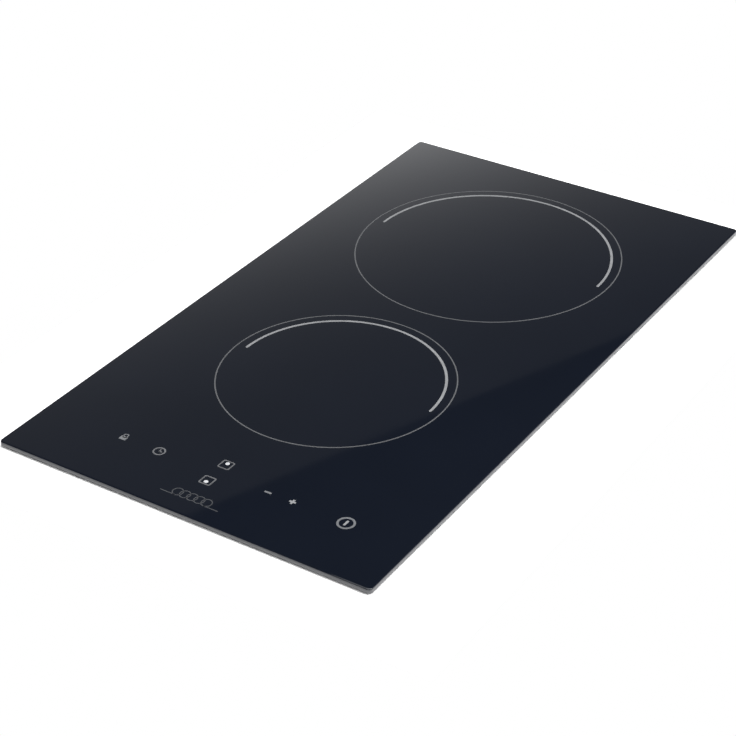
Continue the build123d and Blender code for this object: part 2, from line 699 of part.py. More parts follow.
HOUSING_Z = 3.0
HOUSING_WALL = 1.5
HOUSING_RADIUS = FAN_RADIUS + 6.0
HOUSING_TOP_Z = 24.5
DUCT_WIDTH = 64.0
DUCT_LENGTH = 56.0
DUCT_X = FAN_X - HOUSING_RADIUS + DUCT_WIDTH / 2
LUG_REACH = HOUSING_RADIUS + 3.0
LUG_ANGLES = (20.0, 140.0, 335.0)
INLET_MOUTH_RADIUS = 28.0
BUSH_RADIUS = 3.5
BUSH_DROP = 11.5
BUSH_LENGTH = 10.5
SHAFT_RADIUS = 1.5
SHAFT_LENGTH = 13.5
STATOR_Z = 13.5
STATOR_HEIGHT = 6.0
CUP_RADIUS = 14.0
CUP_WALL = 1.4
CUP_FLOOR = 1.5
MAGNET_THICKNESS = 0.8
MAGNET_HEIGHT = 9.0
BLADE_COUNT = 26
BLADE_LENGTH = 8.5
BLADE_THICKNESS = 1.1
BLADE_ANGLE = 38.0
IMPELLER_Z = 6.0
CUP_Z = 9.0
BACKPLATE_Z = 20.0


def fan_outline(inset):
    """Plan of the fan housing, drawn inset mm inside its outer wall."""
    Circle(HOUSING_RADIUS - inset)
    with Locations((DUCT_X - FAN_X, -DUCT_LENGTH / 2)):
        Rectangle(DUCT_WIDTH - 2 * inset, DUCT_LENGTH)


def fan_lug_points():
    """Centres of the fixing lugs, from the middle of the fan."""
    return [(LUG_REACH * cos(radians(a)), LUG_REACH * sin(radians(a))) for a in LUG_ANGLES]


with BuildPart() as fan_housing:
    with BuildSketch(Plane((FAN_X, FAN_Y, HOUSING_Z))):
        fan_outline(0)
        Circle(INLET_MOUTH_RADIUS, mode=Mode.SUBTRACT)
        with Locations(*fan_lug_points()):
            Circle(4.5)
            Circle(1.6, mode=Mode.SUBTRACT)
    extrude(amount=HOUSING_WALL)
    with BuildSketch(Plane((FAN_X, FAN_Y, HOUSING_Z + HOUSING_WALL))):
        fan_outline(0)
        with BuildSketch(mode=Mode.PRIVATE) as cavity_plan:
            fan_outline(HOUSING_WALL)
        add(cavity_plan.sketch, mode=Mode.SUBTRACT)
        with Locations((DUCT_X - FAN_X, -DUCT_LENGTH)):
            Rectangle(DUCT_WIDTH - 2 * HOUSING_WALL, 4.0, mode=Mode.SUBTRACT)
    extrude(amount=HOUSING_TOP_Z - HOUSING_Z - HOUSING_WALL)
    with BuildSketch(Plane((FAN_X, FAN_Y, SHEET))):
        with Locations(*fan_lug_points()):
            Circle(4.0)
            Circle(1.6, mode=Mode.SUBTRACT)
    extrude(amount=HOUSING_Z - SHEET)
save(fan_housing, "fan_housing")

with BuildPart() as fan_cover:
    with BuildSketch(Plane((FAN_X, FAN_Y, HOUSING_TOP_Z))):
        fan_outline(0)
    extrude(amount=HOUSING_WALL)
    with BuildSketch(Plane((FAN_X, FAN_Y, HOUSING_TOP_Z))):
        Circle(BUSH_RADIUS + 1.0)
        Circle(BUSH_RADIUS, mode=Mode.SUBTRACT)
    extrude(amount=-BUSH_DROP)
save(fan_cover, "fan_cover")

with BuildPart() as fan_bearing:
    with BuildSketch(Plane((FAN_X, FAN_Y, HOUSING_TOP_Z - BUSH_DROP))):
        Circle(BUSH_RADIUS)
        Circle(SHAFT_RADIUS + RUNNING, mode=Mode.SUBTRACT)
    extrude(amount=BUSH_LENGTH)
save(fan_bearing, "fan_bearing")

with BuildPart() as fan_stator:
    with BuildSketch(Plane((FAN_X, FAN_Y, STATOR_Z))):
        Circle(7.0)
        with PolarLocations(7.5, 6):
            Rectangle(5.0, 3.0)
        with BuildSketch(mode=Mode.PRIVATE) as shoes:
            Circle(10.8)
            Circle(9.2, mode=Mode.SUBTRACT)
            with PolarLocations(10.0, 6, start_angle=30):
                Rectangle(4.0, 2.0, mode=Mode.SUBTRACT)
        add(shoes.sketch)
        Circle(BUSH_RADIUS + 1.0, mode=Mode.SUBTRACT)
    extrude(amount=STATOR_HEIGHT)
save(fan_stator, "fan_stator")

with BuildPart() as fan_impeller:
    with BuildSketch(Plane((FAN_X, FAN_Y, CUP_Z))):
        Circle(CUP_RADIUS)
        Circle(SHAFT_RADIUS, mode=Mode.SUBTRACT)
    extrude(amount=CUP_FLOOR)
    with BuildSketch(Plane((FAN_X, FAN_Y, CUP_Z + CUP_FLOOR))):
        Circle(CUP_RADIUS)
        Circle(CUP_RADIUS - CUP_WALL, mode=Mode.SUBTRACT)
    extrude(amount=BACKPLATE_Z - CUP_Z)
    with BuildSketch(Plane((FAN_X, FAN_Y, BACKPLATE_Z))):
        Circle(FAN_RADIUS)
        Circle(CUP_RADIUS - 0.5, mode=Mode.SUBTRACT)
    extrude(amount=1.5)
    with BuildSketch(Plane((FAN_X, FAN_Y, IMPELLER_Z))):
        with PolarLocations(FAN_RADIUS - 4.6, BLADE_COUNT):
            Rectangle(BLADE_LENGTH, BLADE_THICKNESS, rotation=BLADE_ANGLE)
    extrude(amount=BACKPLATE_Z - IMPELLER_Z)
    with BuildSketch(Plane((FAN_X, FAN_Y, IMPELLER_Z))):
        Circle(FAN_RADIUS)
        Circle(FAN_RADIUS - 4.5, mode=Mode.SUBTRACT)
    extrude(amount=1.5)
save(fan_impeller, "fan_impeller")

with BuildPart() as fan_magnet:
    with BuildSketch(Plane((FAN_X, FAN_Y, CUP_Z + CUP_FLOOR))):
        Circle(CUP_RADIUS - CUP_WALL)
        Circle(CUP_RADIUS - CUP_WALL - MAGNET_THICKNESS, mode=Mode.SUBTRACT)
    extrude(amount=MAGNET_HEIGHT)
save(fan_magnet, "fan_magnet")

with BuildPart() as fan_shaft:
    with BuildSketch(Plane((FAN_X, FAN_Y, CUP_Z))):
        Circle(SHAFT_RADIUS)
    extrude(amount=SHAFT_LENGTH)
    chamfer(fan_shaft.edges().group_by(Axis.Z)[-1], 0.3)
save(fan_shaft, "fan_shaft")

# ---------------------------------------------------------------- terminal compartment

HINGE_Y = TERMINAL_FRONT_Y + 6.0
HINGE_Z = 3.0
HINGE_PIN_RADIUS = 1.0
KNUCKLE_RADIUS = 2.4
KNUCKLE_X = (TERMINAL_X - 26.0, TERMINAL_X + 26.0)
KNUCKLE_WIDTH = 7.0
COVER_Z = 0.3
COVER_THICKNESS = 2.0
COVER_FRONT_Y = HINGE_Y + 3.5
COVER_GAP = 0.6
ROOF_UNDERSIDE_Z = TERMINAL_ROOF_Z - TERMINAL_WALL
POLE_COUNT = 5
POLE_PITCH = 10.0
BLOCK_Y = TERMINAL_FRONT_Y + 28.0
BLOCK_DEPTH = 20.0
BLOCK_HEIGHT = 14.0
WIRE_Z = 15.0
CORD_CLAMP_X = 12.0
CORD_CLAMP_Y = TERMINAL_BACK_Y - 15.0
CORD_CLAMP_POST = 11.0
CORD_CLAMP_THICKNESS = 2.5

with BuildPart() as terminal_box:
    with BuildSketch(Plane((TERMINAL_X, TERMINAL_Y, SHEET))):
        Rectangle(TERMINAL_WIDTH, TERMINAL_DEPTH)
        Rectangle(TERMINAL_WIDTH - 2 * TERMINAL_WALL, TERMINAL_DEPTH - 2 * TERMINAL_WALL, mode=Mode.SUBTRACT)
    extrude(amount=ROOF_UNDERSIDE_Z - SHEET)
    with BuildSketch(Plane((TERMINAL_X, TERMINAL_Y, ROOF_UNDERSIDE_Z))):
        Rectangle(TERMINAL_WIDTH, TERMINAL_DEPTH)
    extrude(amount=TERMINAL_WALL)
    # Cable inlet in the back wall and the way out for the wires in the front wall.
    with BuildSketch(Plane((TERMINAL_X, TERMINAL_BACK_Y, INLET_Z), z_dir=(0, 1, 0))):
        Circle(INLET_RADIUS)
    extrude(amount=-TERMINAL_WALL, mode=Mode.SUBTRACT)
    with BuildSketch(Plane((TERMINAL_X, TERMINAL_FRONT_Y, WIRE_Z), x_dir=(1, 0, 0), z_dir=(0, -1, 0))):
        SlotOverall(2 * MAINS_WIRE_PITCH + 6.0, 5.0)
    extrude(amount=-TERMINAL_WALL, mode=Mode.SUBTRACT)
    # Blind seats for the ends of the hinge pin.
    with BuildSketch(Plane((TERMINAL_X - TERMINAL_WIDTH / 2 + 0.8, HINGE_Y, HINGE_Z), z_dir=(1, 0, 0))):
        Circle(HINGE_PIN_RADIUS)
    extrude(amount=TERMINAL_WIDTH - 1.6, mode=Mode.SUBTRACT)
    # Posts for the cord clamp.
    with BuildSketch(Plane((TERMINAL_X, CORD_CLAMP_Y, ROOF_UNDERSIDE_Z))):
        with Locations((-CORD_CLAMP_X, 0), (CORD_CLAMP_X, 0)):
            RectangleRounded(8.0, 9.0, 1.0)
            Circle(SCREW_RADIUS, mode=Mode.SUBTRACT)
    extrude(amount=-CORD_CLAMP_POST)
save(terminal_box, "terminal_box")

with BuildPart() as terminal_block:
    with BuildSketch(Plane((TERMINAL_X, BLOCK_Y, ROOF_UNDERSIDE_Z))):
        RectangleRounded(POLE_COUNT * POLE_PITCH + 2.0, BLOCK_DEPTH, 1.0)
    extrude(amount=-BLOCK_HEIGHT)
    # A screw well and a clear wire way through each pole, and grooves between the poles.
    with BuildSketch(Plane((TERMINAL_X, BLOCK_Y, ROOF_UNDERSIDE_Z - BLOCK_HEIGHT))):
        with GridLocations(POLE_PITCH, 0, POLE_COUNT, 1):
            Circle(2.6)
    extrude(amount=4.0, mode=Mode.SUBTRACT)
    block_front = (TERMINAL_X, BLOCK_Y - BLOCK_DEPTH / 2, WIRE_Z)
    with BuildSketch(Plane(block_front, x_dir=(1, 0, 0), z_dir=(0, -1, 0))):
        with GridLocations(POLE_PITCH, 0, POLE_COUNT, 1):
            Circle(2.2)
    extrude(amount=-BLOCK_DEPTH, mode=Mode.SUBTRACT)
    with BuildSketch(Plane((TERMINAL_X, BLOCK_Y, ROOF_UNDERSIDE_Z - BLOCK_HEIGHT))):
        with GridLocations(POLE_PITCH, 0, POLE_COUNT - 1, 1):
            Rectangle(1.2, BLOCK_DEPTH)
    extrude(amount=3.0, mode=Mode.SUBTRACT)
save(terminal_block, "terminal_block")

TERMINAL_SCREW_Z = ROOF_UNDERSIDE_Z - BLOCK_HEIGHT + 1.4
TERMINAL_SCREW_RADIUS = 2.3

with BuildPart() as terminal_screws:
    with BuildSketch(Plane((TERMINAL_X, BLOCK_Y, TERMINAL_SCREW_Z))):
        with GridLocations(POLE_PITCH, 0, POLE_COUNT, 1):
            Circle(TERMINAL_SCREW_RADIUS)
    extrude(amount=2.6)
    with BuildSketch(Plane((TERMINAL_X, BLOCK_Y, TERMINAL_SCREW_Z))):
        with GridLocations(POLE_PITCH, 0, POLE_COUNT, 1):
            Rectangle(2 * TERMINAL_SCREW_RADIUS, 0.8)
    extrude(amount=1.0, mode=Mode.SUBTRACT)
save(terminal_screws, "terminal_screws")

with BuildPart() as cord_clamp:
    with BuildSketch(Plane((TERMINAL_X, CORD_CLAMP_Y, ROOF_UNDERSIDE_Z - CORD_CLAMP_POST))):
        RectangleRounded(32.0, 9.0, 1.5)
        with Locations((-CORD_CLAMP_X, 0), (CORD_CLAMP_X, 0)):
            Circle(SCREW_RADIUS + 0.2, mode=Mode.SUBTRACT)
    extrude(amount=-CORD_CLAMP_THICKNESS)
    with BuildSketch(Plane((TERMINAL_X, CORD_CLAMP_Y, ROOF_UNDERSIDE_Z - CORD_CLAMP_POST))):
        with GridLocations(0, 4.0, 1, 2):
            Rectangle(12.0, 1.2)
    extrude(amount=1.2)
save(cord_clamp, "cord_clamp")

# Equal pan-head screws: eight hold the deck, three the fan and two the cord clamp.
SCREW_HEAD_RADIUS = 2.8
SCREW_HEAD_HEIGHT = 1.8
SCREW_LENGTH = 6.0
CROSS_DEPTH = 1.0


def fixing_screw_planes():
    """Planes on the seats of the screw heads, looking out along each screw."""
    planes = [Plane((x, y, DECK_TOP_Z)) for x, y in POST_POINTS]
    for x, y in fan_lug_points():
        planes.append(Plane((FAN_X + x, FAN_Y + y, HOUSING_Z + HOUSING_WALL)))
    clamp_z = ROOF_UNDERSIDE_Z - CORD_CLAMP_POST - CORD_CLAMP_THICKNESS
    for side in (-1, 1):
        planes.append(Plane((TERMINAL_X + side * CORD_CLAMP_X, CORD_CLAMP_Y, clamp_z), z_dir=(0, 0, -1)))
    return planes


with BuildPart() as fixing_screws:
    for plane in fixing_screw_planes():
        with BuildSketch(plane):
            Circle(SCREW_HEAD_RADIUS)
        extrude(amount=SCREW_HEAD_HEIGHT, taper=12)
        with BuildSketch(plane.offset(SCREW_HEAD_HEIGHT)):
            Rectangle(3.2, 0.7)
            Rectangle(0.7, 3.2)
        extrude(amount=-CROSS_DEPTH, mode=Mode.SUBTRACT)
        length = min(SCREW_LENGTH, abs(plane.origin.Z - SHEET))
        with BuildSketch(plane):
            Circle(SCREW_RADIUS)
        extrude(amount=-length)
save(fixing_screws, "fixing_screws")

GROMMET_BORE = 4.5
GROMMET_COLLAR = 2.0

with BuildPart() as cable_grommet:
    with BuildSketch(Plane((TERMINAL_X, BODY_DEPTH / 2 + GROMMET_COLLAR, INLET_Z), z_dir=(0, -1, 0))):
        Circle(INLET_RADIUS + 2.0)
    extrude(amount=GROMMET_COLLAR)
    with BuildSketch(Plane((TERMINAL_X, BODY_DEPTH / 2, INLET_Z), z_dir=(0, -1, 0))):
        Circle(INLET_RADIUS)
    extrude(amount=BODY_DEPTH / 2 - TERMINAL_BACK_Y + TERMINAL_WALL)
    with BuildSketch(Plane((TERMINAL_X, TERMINAL_BACK_Y - TERMINAL_WALL, INLET_Z), z_dir=(0, -1, 0))):
        Circle(INLET_RADIUS + 1.5)
    extrude(amount=GROMMET_COLLAR)
    with BuildSketch(Plane((TERMINAL_X, BODY_DEPTH / 2 + GROMMET_COLLAR, INLET_Z), z_dir=(0, -1, 0))):
        Circle(GROMMET_BORE)
    extrude(amount=12.0, mode=Mode.SUBTRACT)
    fillet(cable_grommet.edges().sort_by(Axis.Y)[-2:], 0.7)
save(cable_grommet, "cable_grommet")

with BuildPart() as terminal_cover:
    with BuildSketch(Plane((TERMINAL_X, (COVER_FRONT_Y + ACCESS_BACK_Y - COVER_GAP) / 2, COVER_Z))):
        RectangleRounded(ACCESS_WIDTH - 2 * COVER_GAP, ACCESS_BACK_Y - COVER_GAP - COVER_FRONT_Y, 1.2)
    extrude(amount=COVER_THICKNESS)
    # Knuckles on the pin, joined to the plate by short necks.
    for x in KNUCKLE_X:
        with BuildSketch(Plane((x - KNUCKLE_WIDTH / 2, HINGE_Y, HINGE_Z), x_dir=(0, 1, 0), z_dir=(1, 0, 0))):
            Circle(KNUCKLE_RADIUS)
            with BuildLine():
                Polyline(
                    (0, COVER_Z + 0.35 - HINGE_Z),
                    (COVER_FRONT_Y - HINGE_Y + 1.0, COVER_Z - HINGE_Z),
                    (COVER_FRONT_Y - HINGE_Y + 1.0, COVER_Z + COVER_THICKNESS - HINGE_Z),
                    (KNUCKLE_RADIUS * 0.9, 0),
                    (0, 0),
                    close=True,
                )
            make_face()
            Circle(HINGE_PIN_RADIUS + RUNNING, mode=Mode.SUBTRACT)
        extrude(amount=KNUCKLE_WIDTH)
    # Stiffening ribs, and a finger notch in the free edge.
    with BuildSketch(Plane((TERMINAL_X, TERMINAL_Y + 2.0, COVER_Z + COVER_THICKNESS))):
        with GridLocations(18.0, 0, 3, 1):
            Rectangle(1.2, 44.0)
    extrude(amount=1.6)
    with BuildSketch(Plane((TERMINAL_X, ACCESS_BACK_Y - COVER_GAP, COVER_Z))):
        SlotOverall(16.0, 5.0)
    extrude(amount=COVER_THICKNESS, mode=Mode.SUBTRACT)
save(terminal_cover, "terminal_cover")

with BuildPart() as cover_hinge_pin:
    with BuildSketch(Plane((TERMINAL_X - TERMINAL_WIDTH / 2 + 0.8, HINGE_Y, HINGE_Z), z_dir=(1, 0, 0))):
        Circle(HINGE_PIN_RADIUS)
    extrude(amount=TERMINAL_WIDTH - 1.6)
save(cover_hinge_pin, "cover_hinge_pin")

# ---------------------------------------------------------------- wiring inside the casing

RIBBON_TOP_Z = CONTROL_TOP_Z + 2.0
RIBBON_WIDTH = 26.0
RIBBON_THICKNESS = 0.8


def mains_wire_route(x):
    """From the terminal block, through the wall of its box, to the connector on the board."""
    return FilletPolyline(
        (x, BLOCK_Y - BLOCK_DEPTH / 2, WIRE_Z),
        (x, 150.0, WIRE_Z),
        (x, 124.0, MAINS_CONNECTOR_Z - 4.0),
        (x, 100.0, MAINS_CONNECTOR_Z - 4.0),
        radius=60.0,
    )


def coil_lead_route(side, zone_y, lead_y):
    """From the middle of a coil pack, down through the deck, to a terminal on the board."""
    return FilletPolyline(
        (side * LEAD_GAP, zone_y, FERRITE_TOP_Z),
        (side * LEAD_GAP, zone_y, DECK_Z - 3.0),
        (side * LEAD_END_X, lead_y, BOARD_TOP_Z + 13.0),
        (side * LEAD_END_X, lead_y, COIL_TERMINAL_Z),
        radius=(7.0, 5.0),
    )


with BuildPart() as internal_wiring:
    for step in (-1, 0, 1):
        with BuildLine() as route:
            mains_wire_route(TERMINAL_X + step * MAINS_WIRE_PITCH)
        with BuildSketch(Plane(route.line @ 0, z_dir=route.line % 0)):
            Circle(MAINS_WIRE_RADIUS)
        sweep(path=route.line)
    for _, zone_y, _, _, _, lead_y in ZONES:
        for side in (-1, 1):
            with BuildLine() as route:
                coil_lead_route(side, zone_y, lead_y)
            with BuildSketch(Plane(route.line @ 0, z_dir=route.line % 0)):
                Circle(LEAD_RADIUS)
            sweep(path=route.line)
    # Flat ribbon from the touch control down to the power board.
    with BuildLine() as route:
        FilletPolyline(
            (0, CONTROL_BACK_Y - 1.0, RIBBON_TOP_Z),
            (0, RIBBON_Y, RIBBON_TOP_Z),
            (0, RIBBON_Y, BOARD_TOP_Z + RIBBON_PLUG_HEIGHT),
            radius=5.0,
        )
    with BuildSketch(Plane(route.line @ 0, x_dir=(1, 0, 0), z_dir=route.line % 0)):
        Rectangle(RIBBON_WIDTH, RIBBON_THICKNESS)
    sweep(path=route.line)
save(internal_wiring, "internal_wiring")

# ---------------------------------------------------------------- touch control

CARRIER_FLOOR_Z = 37.0
CARRIER_FLOOR = 1.6
CARRIER_LIP = 1.0
LEG_POINTS = [(x, CONTROL_Y + y) for x in (-98.0, 0.0, 98.0) for y in (-18.0, 18.0)]

with BuildPart() as control_carrier:
    with BuildSketch(Plane((0, CONTROL_Y, CARRIER_FLOOR_Z))):
        RectangleRounded(CONTROL_WIDTH + 2 * CARRIER_LIP, CONTROL_DEPTH + 2 * CARRIER_LIP, 3.0)
        with GridLocations(36.0, 20.0, 5, 2):
            RectangleRounded(26.0, 10.0, 2.0, mode=Mode.SUBTRACT)
    extrude(amount=CARRIER_FLOOR)
    with BuildSketch(Plane((0, CONTROL_Y, CARRIER_FLOOR_Z + CARRIER_FLOOR))):
        RectangleRounded(CONTROL_WIDTH + 2 * CARRIER_LIP, CONTROL_DEPTH + 2 * CARRIER_LIP, 3.0)
        RectangleRounded(
            CONTROL_WIDTH - 2 * CARRIER_LIP, CONTROL_DEPTH - 2 * CARRIER_LIP, 2.0, mode=Mode.SUBTRACT
        )
    extrude(amount=CONTROL_BOARD_Z - CARRIER_FLOOR_Z - CARRIER_FLOOR)
    with BuildSketch(Plane.XY.offset(DECK_TOP_Z)):
        with Locations(*LEG_POINTS):
            Circle(3.5)
    extrude(amount=CARRIER_FLOOR_Z - DECK_TOP_Z)
save(control_carrier, "control_carrier")

with BuildPart() as control_board:
    with BuildSketch(Plane((0, CONTROL_Y, CONTROL_BOARD_Z))):
        RectangleRounded(CONTROL_WIDTH, CONTROL_DEPTH, 2.0)
    extrude(amount=BOARD_THICKNESS)
save(control_board, "control_board")

with BuildPart() as touch_pads:
    with BuildSketch(Plane.XY.offset(CONTROL_TOP_Z)):
        with Locations(*KEY_POINTS):
            Circle(4.6)
            Circle(1.5, mode=Mode.SUBTRACT)
    extrude(amount=GLASS_Z - CONTROL_TOP_Z)
save(touch_pads, "touch_pads")

with BuildPart() as level_displays:
    with BuildSketch(Plane.XY.offset(CONTROL_TOP_Z)):
        with Locations((-22.0, KEY_LINE_Y + ZONE_KEY_STEP), (-22.0, KEY_LINE_Y - ZONE_KEY_STEP)):
            RectangleRounded(10.0, 14.0, 0.5)
    extrude(amount=5.8)
save(level_displays, "level_displays")

# ---------------------------------------------------------------- worktop clamps

TAB = 1.5
BRACKET_WIDTH = 12.0
BRACKET_Z = 4.0
BRACKET_HEIGHT = 34.0
BRACKET_REACH = 11.5
CLAMP_SCREW_RADIUS = 2.4
NUT_Z = 6.0
NUT_HEIGHT = 3.5
NUT_WIDTH = 8.0
COLLAR_RADIUS = 3.4
COLLAR_HEIGHT = 2.6
ARM_Z = NUT_Z + NUT_HEIGHT + 0.2
ARM_THICKNESS = 2.0
ARM_WIDTH = 8.4
ARM_LENGTH = 24.0
TOOTH_HEIGHT = 3.0
CLAMP_END_PLAY = 0.2
CLAMP_HEAD_RADIUS = 4.2
CLAMP_HEAD_HEIGHT = 2.6
CLIP_THICKNESS = 0.8
CLIP_WIDTH = 1.6
# Each clamp: name, and the end of the casing that it stands at.
CLAMPS = [
    ("front", -1),
    ("rear", 1),
]

with BuildPart() as clamp_brackets:
    for _, end in CLAMPS:
        wall_y = end * BODY_DEPTH / 2
        out = Align.MIN if end > 0 else Align.MAX
        with BuildSketch(Plane((0, wall_y, BRACKET_Z))):
            Rectangle(BRACKET_WIDTH, TAB, align=(Align.CENTER, out))
        extrude(amount=BRACKET_HEIGHT)
        for height in (0, BRACKET_HEIGHT - TAB):
            with BuildSketch(Plane((0, wall_y, BRACKET_Z + height))):
                Rectangle(BRACKET_WIDTH, BRACKET_REACH, align=(Align.CENTER, out))
                with Locations((0, end * (CLAMP_Y - BODY_DEPTH / 2))):
                    Circle(CLAMP_SCREW_RADIUS + RUNNING, mode=Mode.SUBTRACT)
            extrude(amount=TAB)
save(clamp_brackets, "clamp_brackets")


def make_clamp_screw(y):
    """Screw held between the bracket's tabs by its head below and a clip above."""
    top_z = BRACKET_Z + BRACKET_HEIGHT
    with BuildPart() as screw:
        with BuildSketch(Plane((0, y, BRACKET_Z - CLAMP_END_PLAY))):
            Circle(CLAMP_HEAD_RADIUS)
        extrude(amount=-CLAMP_HEAD_HEIGHT)
        chamfer(screw.edges().group_by(Axis.Z)[0], 0.6)
        with BuildSketch(Plane((0, y, BRACKET_Z - CLAMP_END_PLAY))):
            Circle(CLAMP_SCREW_RADIUS)
        extrude(amount=top_z - BRACKET_Z + 2.2)
        with BuildSketch(Plane((0, y, BRACKET_Z - CLAMP_END_PLAY - CLAMP_HEAD_HEIGHT))):
            Rectangle(5.4, 1.0)
            Rectangle(1.0, 5.4)
        extrude(amount=1.4, mode=Mode.SUBTRACT)
        with BuildSketch(Plane((0, y, top_z + CLAMP_END_PLAY))):
            Circle(CLAMP_SCREW_RADIUS + CLIP_WIDTH)
        extrude(amount=CLIP_THICKNESS)
    return screw


def make_clamp_nut(y):
    """Square nut that climbs the screw, with the round collar that the arm turns on."""
    with BuildPart() as nut:
        with BuildSketch(Plane((0, y, NUT_Z))):
            RectangleRounded(NUT_WIDTH, NUT_WIDTH, 0.5)
        extrude(amount=NUT_HEIGHT)
        with BuildSketch(Plane((0, y, NUT_Z + NUT_HEIGHT))):
            Circle(COLLAR_RADIUS)
        extrude(amount=COLLAR_HEIGHT)
        with BuildSketch(Plane((0, y, NUT_Z))):
            Circle(CLAMP_SCREW_RADIUS + RUNNING)
        extrude(amount=NUT_HEIGHT + COLLAR_HEIGHT, mode=Mode.SUBTRACT)
    return nut


def make_clamp_arm(y):
    """Steel arm, folded in along the wall, with a tooth turned up at its tip."""
    with BuildPart() as arm:
        with BuildSketch(Plane((0, y, ARM_Z))):
            Circle(ARM_WIDTH / 2)
            with Locations((-ARM_LENGTH / 2, 0)):
                Rectangle(ARM_LENGTH, ARM_WIDTH)
            Circle(COLLAR_RADIUS + RUNNING, mode=Mode.SUBTRACT)
        extrude(amount=ARM_THICKNESS)
        with BuildSketch(Plane((ARM_THICKNESS / 2 - ARM_LENGTH, y, ARM_Z + ARM_THICKNESS))):
            Rectangle(ARM_THICKNESS, ARM_WIDTH)
        extrude(amount=TOOTH_HEIGHT)
        fillet(arm.edges().filter_by(Axis.Y).group_by(Axis.Z)[-1], 0.5)
    return arm


for name, end in CLAMPS:
    save(make_clamp_screw(end * CLAMP_Y), f"{name}_clamp_screw")
    save(make_clamp_nut(end * CLAMP_Y), f"{name}_clamp_nut")
    save(make_clamp_arm(end * CLAMP_Y), f"{name}_clamp_arm")
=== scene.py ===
import json
from math import cos, exp, pi, radians, sin

import bmesh
import bpy
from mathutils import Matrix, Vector


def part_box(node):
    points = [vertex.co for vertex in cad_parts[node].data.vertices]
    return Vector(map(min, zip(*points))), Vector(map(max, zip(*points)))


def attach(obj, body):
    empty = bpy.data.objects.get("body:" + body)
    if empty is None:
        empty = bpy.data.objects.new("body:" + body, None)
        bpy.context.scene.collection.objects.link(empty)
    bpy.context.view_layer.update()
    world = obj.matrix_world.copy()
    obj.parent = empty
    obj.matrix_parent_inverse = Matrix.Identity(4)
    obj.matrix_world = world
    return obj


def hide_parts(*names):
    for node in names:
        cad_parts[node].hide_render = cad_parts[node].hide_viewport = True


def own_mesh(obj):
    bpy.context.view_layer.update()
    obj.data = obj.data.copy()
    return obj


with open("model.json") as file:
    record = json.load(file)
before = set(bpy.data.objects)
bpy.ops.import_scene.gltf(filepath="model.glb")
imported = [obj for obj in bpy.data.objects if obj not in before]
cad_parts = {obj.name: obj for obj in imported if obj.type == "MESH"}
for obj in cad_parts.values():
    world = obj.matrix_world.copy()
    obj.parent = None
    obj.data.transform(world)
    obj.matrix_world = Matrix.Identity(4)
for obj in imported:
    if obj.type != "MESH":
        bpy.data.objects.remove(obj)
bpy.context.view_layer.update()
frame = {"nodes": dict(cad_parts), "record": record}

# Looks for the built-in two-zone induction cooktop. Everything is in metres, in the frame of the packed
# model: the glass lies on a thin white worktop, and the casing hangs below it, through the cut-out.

scene = bpy.context.scene
MM = 0.001

# ---------------------------------------------------------------- sizes read from the frame

GLASS_LOW, GLASS_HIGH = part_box("glass_top")
GLASS_HALF_WIDTH = GLASS_HIGH.x
GLASS_HALF_DEPTH = GLASS_HIGH.y
GLASS_TOP = GLASS_HIGH.z
GLASS_UNDERSIDE = GLASS_LOW.z
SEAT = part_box("perimeter_seal")[0].z
PRINT_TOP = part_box("glass_print")[1].z

GLASS_CORNER = 3.0 * MM
GLASS_ROUNDING = 0.8 * MM
# How far down the ground glass edge, from the polished rounding, its colour is darkened: painted shade.
PAINTED_SHADE_DEPTH = 1.2 * MM

# Middle and radius of each zone's printed circle, and the radius of its spring circle.
ZONES = {
    "rear": {"y": 125.2 * MM, "radius": 100.4 * MM, "springs": 68.0 * MM},
    "front": {"y": -80.4 * MM, "radius": 82.6 * MM, "springs": 50.0 * MM},
}

# ---------------------------------------------------------------- camera

CAMERA_PLACE = (0.6489, -1.0283, 0.7986)
CAMERA_TILT = 57.393
CAMERA_TURN = 32.325
CAMERA_LENS = 98.13
CAMERA_SENSOR = 36.0
CAMERA_SHIFT = -0.0398

camera_data = bpy.data.cameras.new("camera")
camera_data.lens = CAMERA_LENS
camera_data.sensor_width = CAMERA_SENSOR
camera_data.shift_x = CAMERA_SHIFT
camera = bpy.data.objects.new("camera", camera_data)
camera.location = CAMERA_PLACE
camera.rotation_euler = (radians(CAMERA_TILT), 0.0, radians(CAMERA_TURN))
scene.collection.objects.link(camera)
scene.camera = camera
scene.view_settings.view_transform = "Standard"

# ---------------------------------------------------------------- finishes


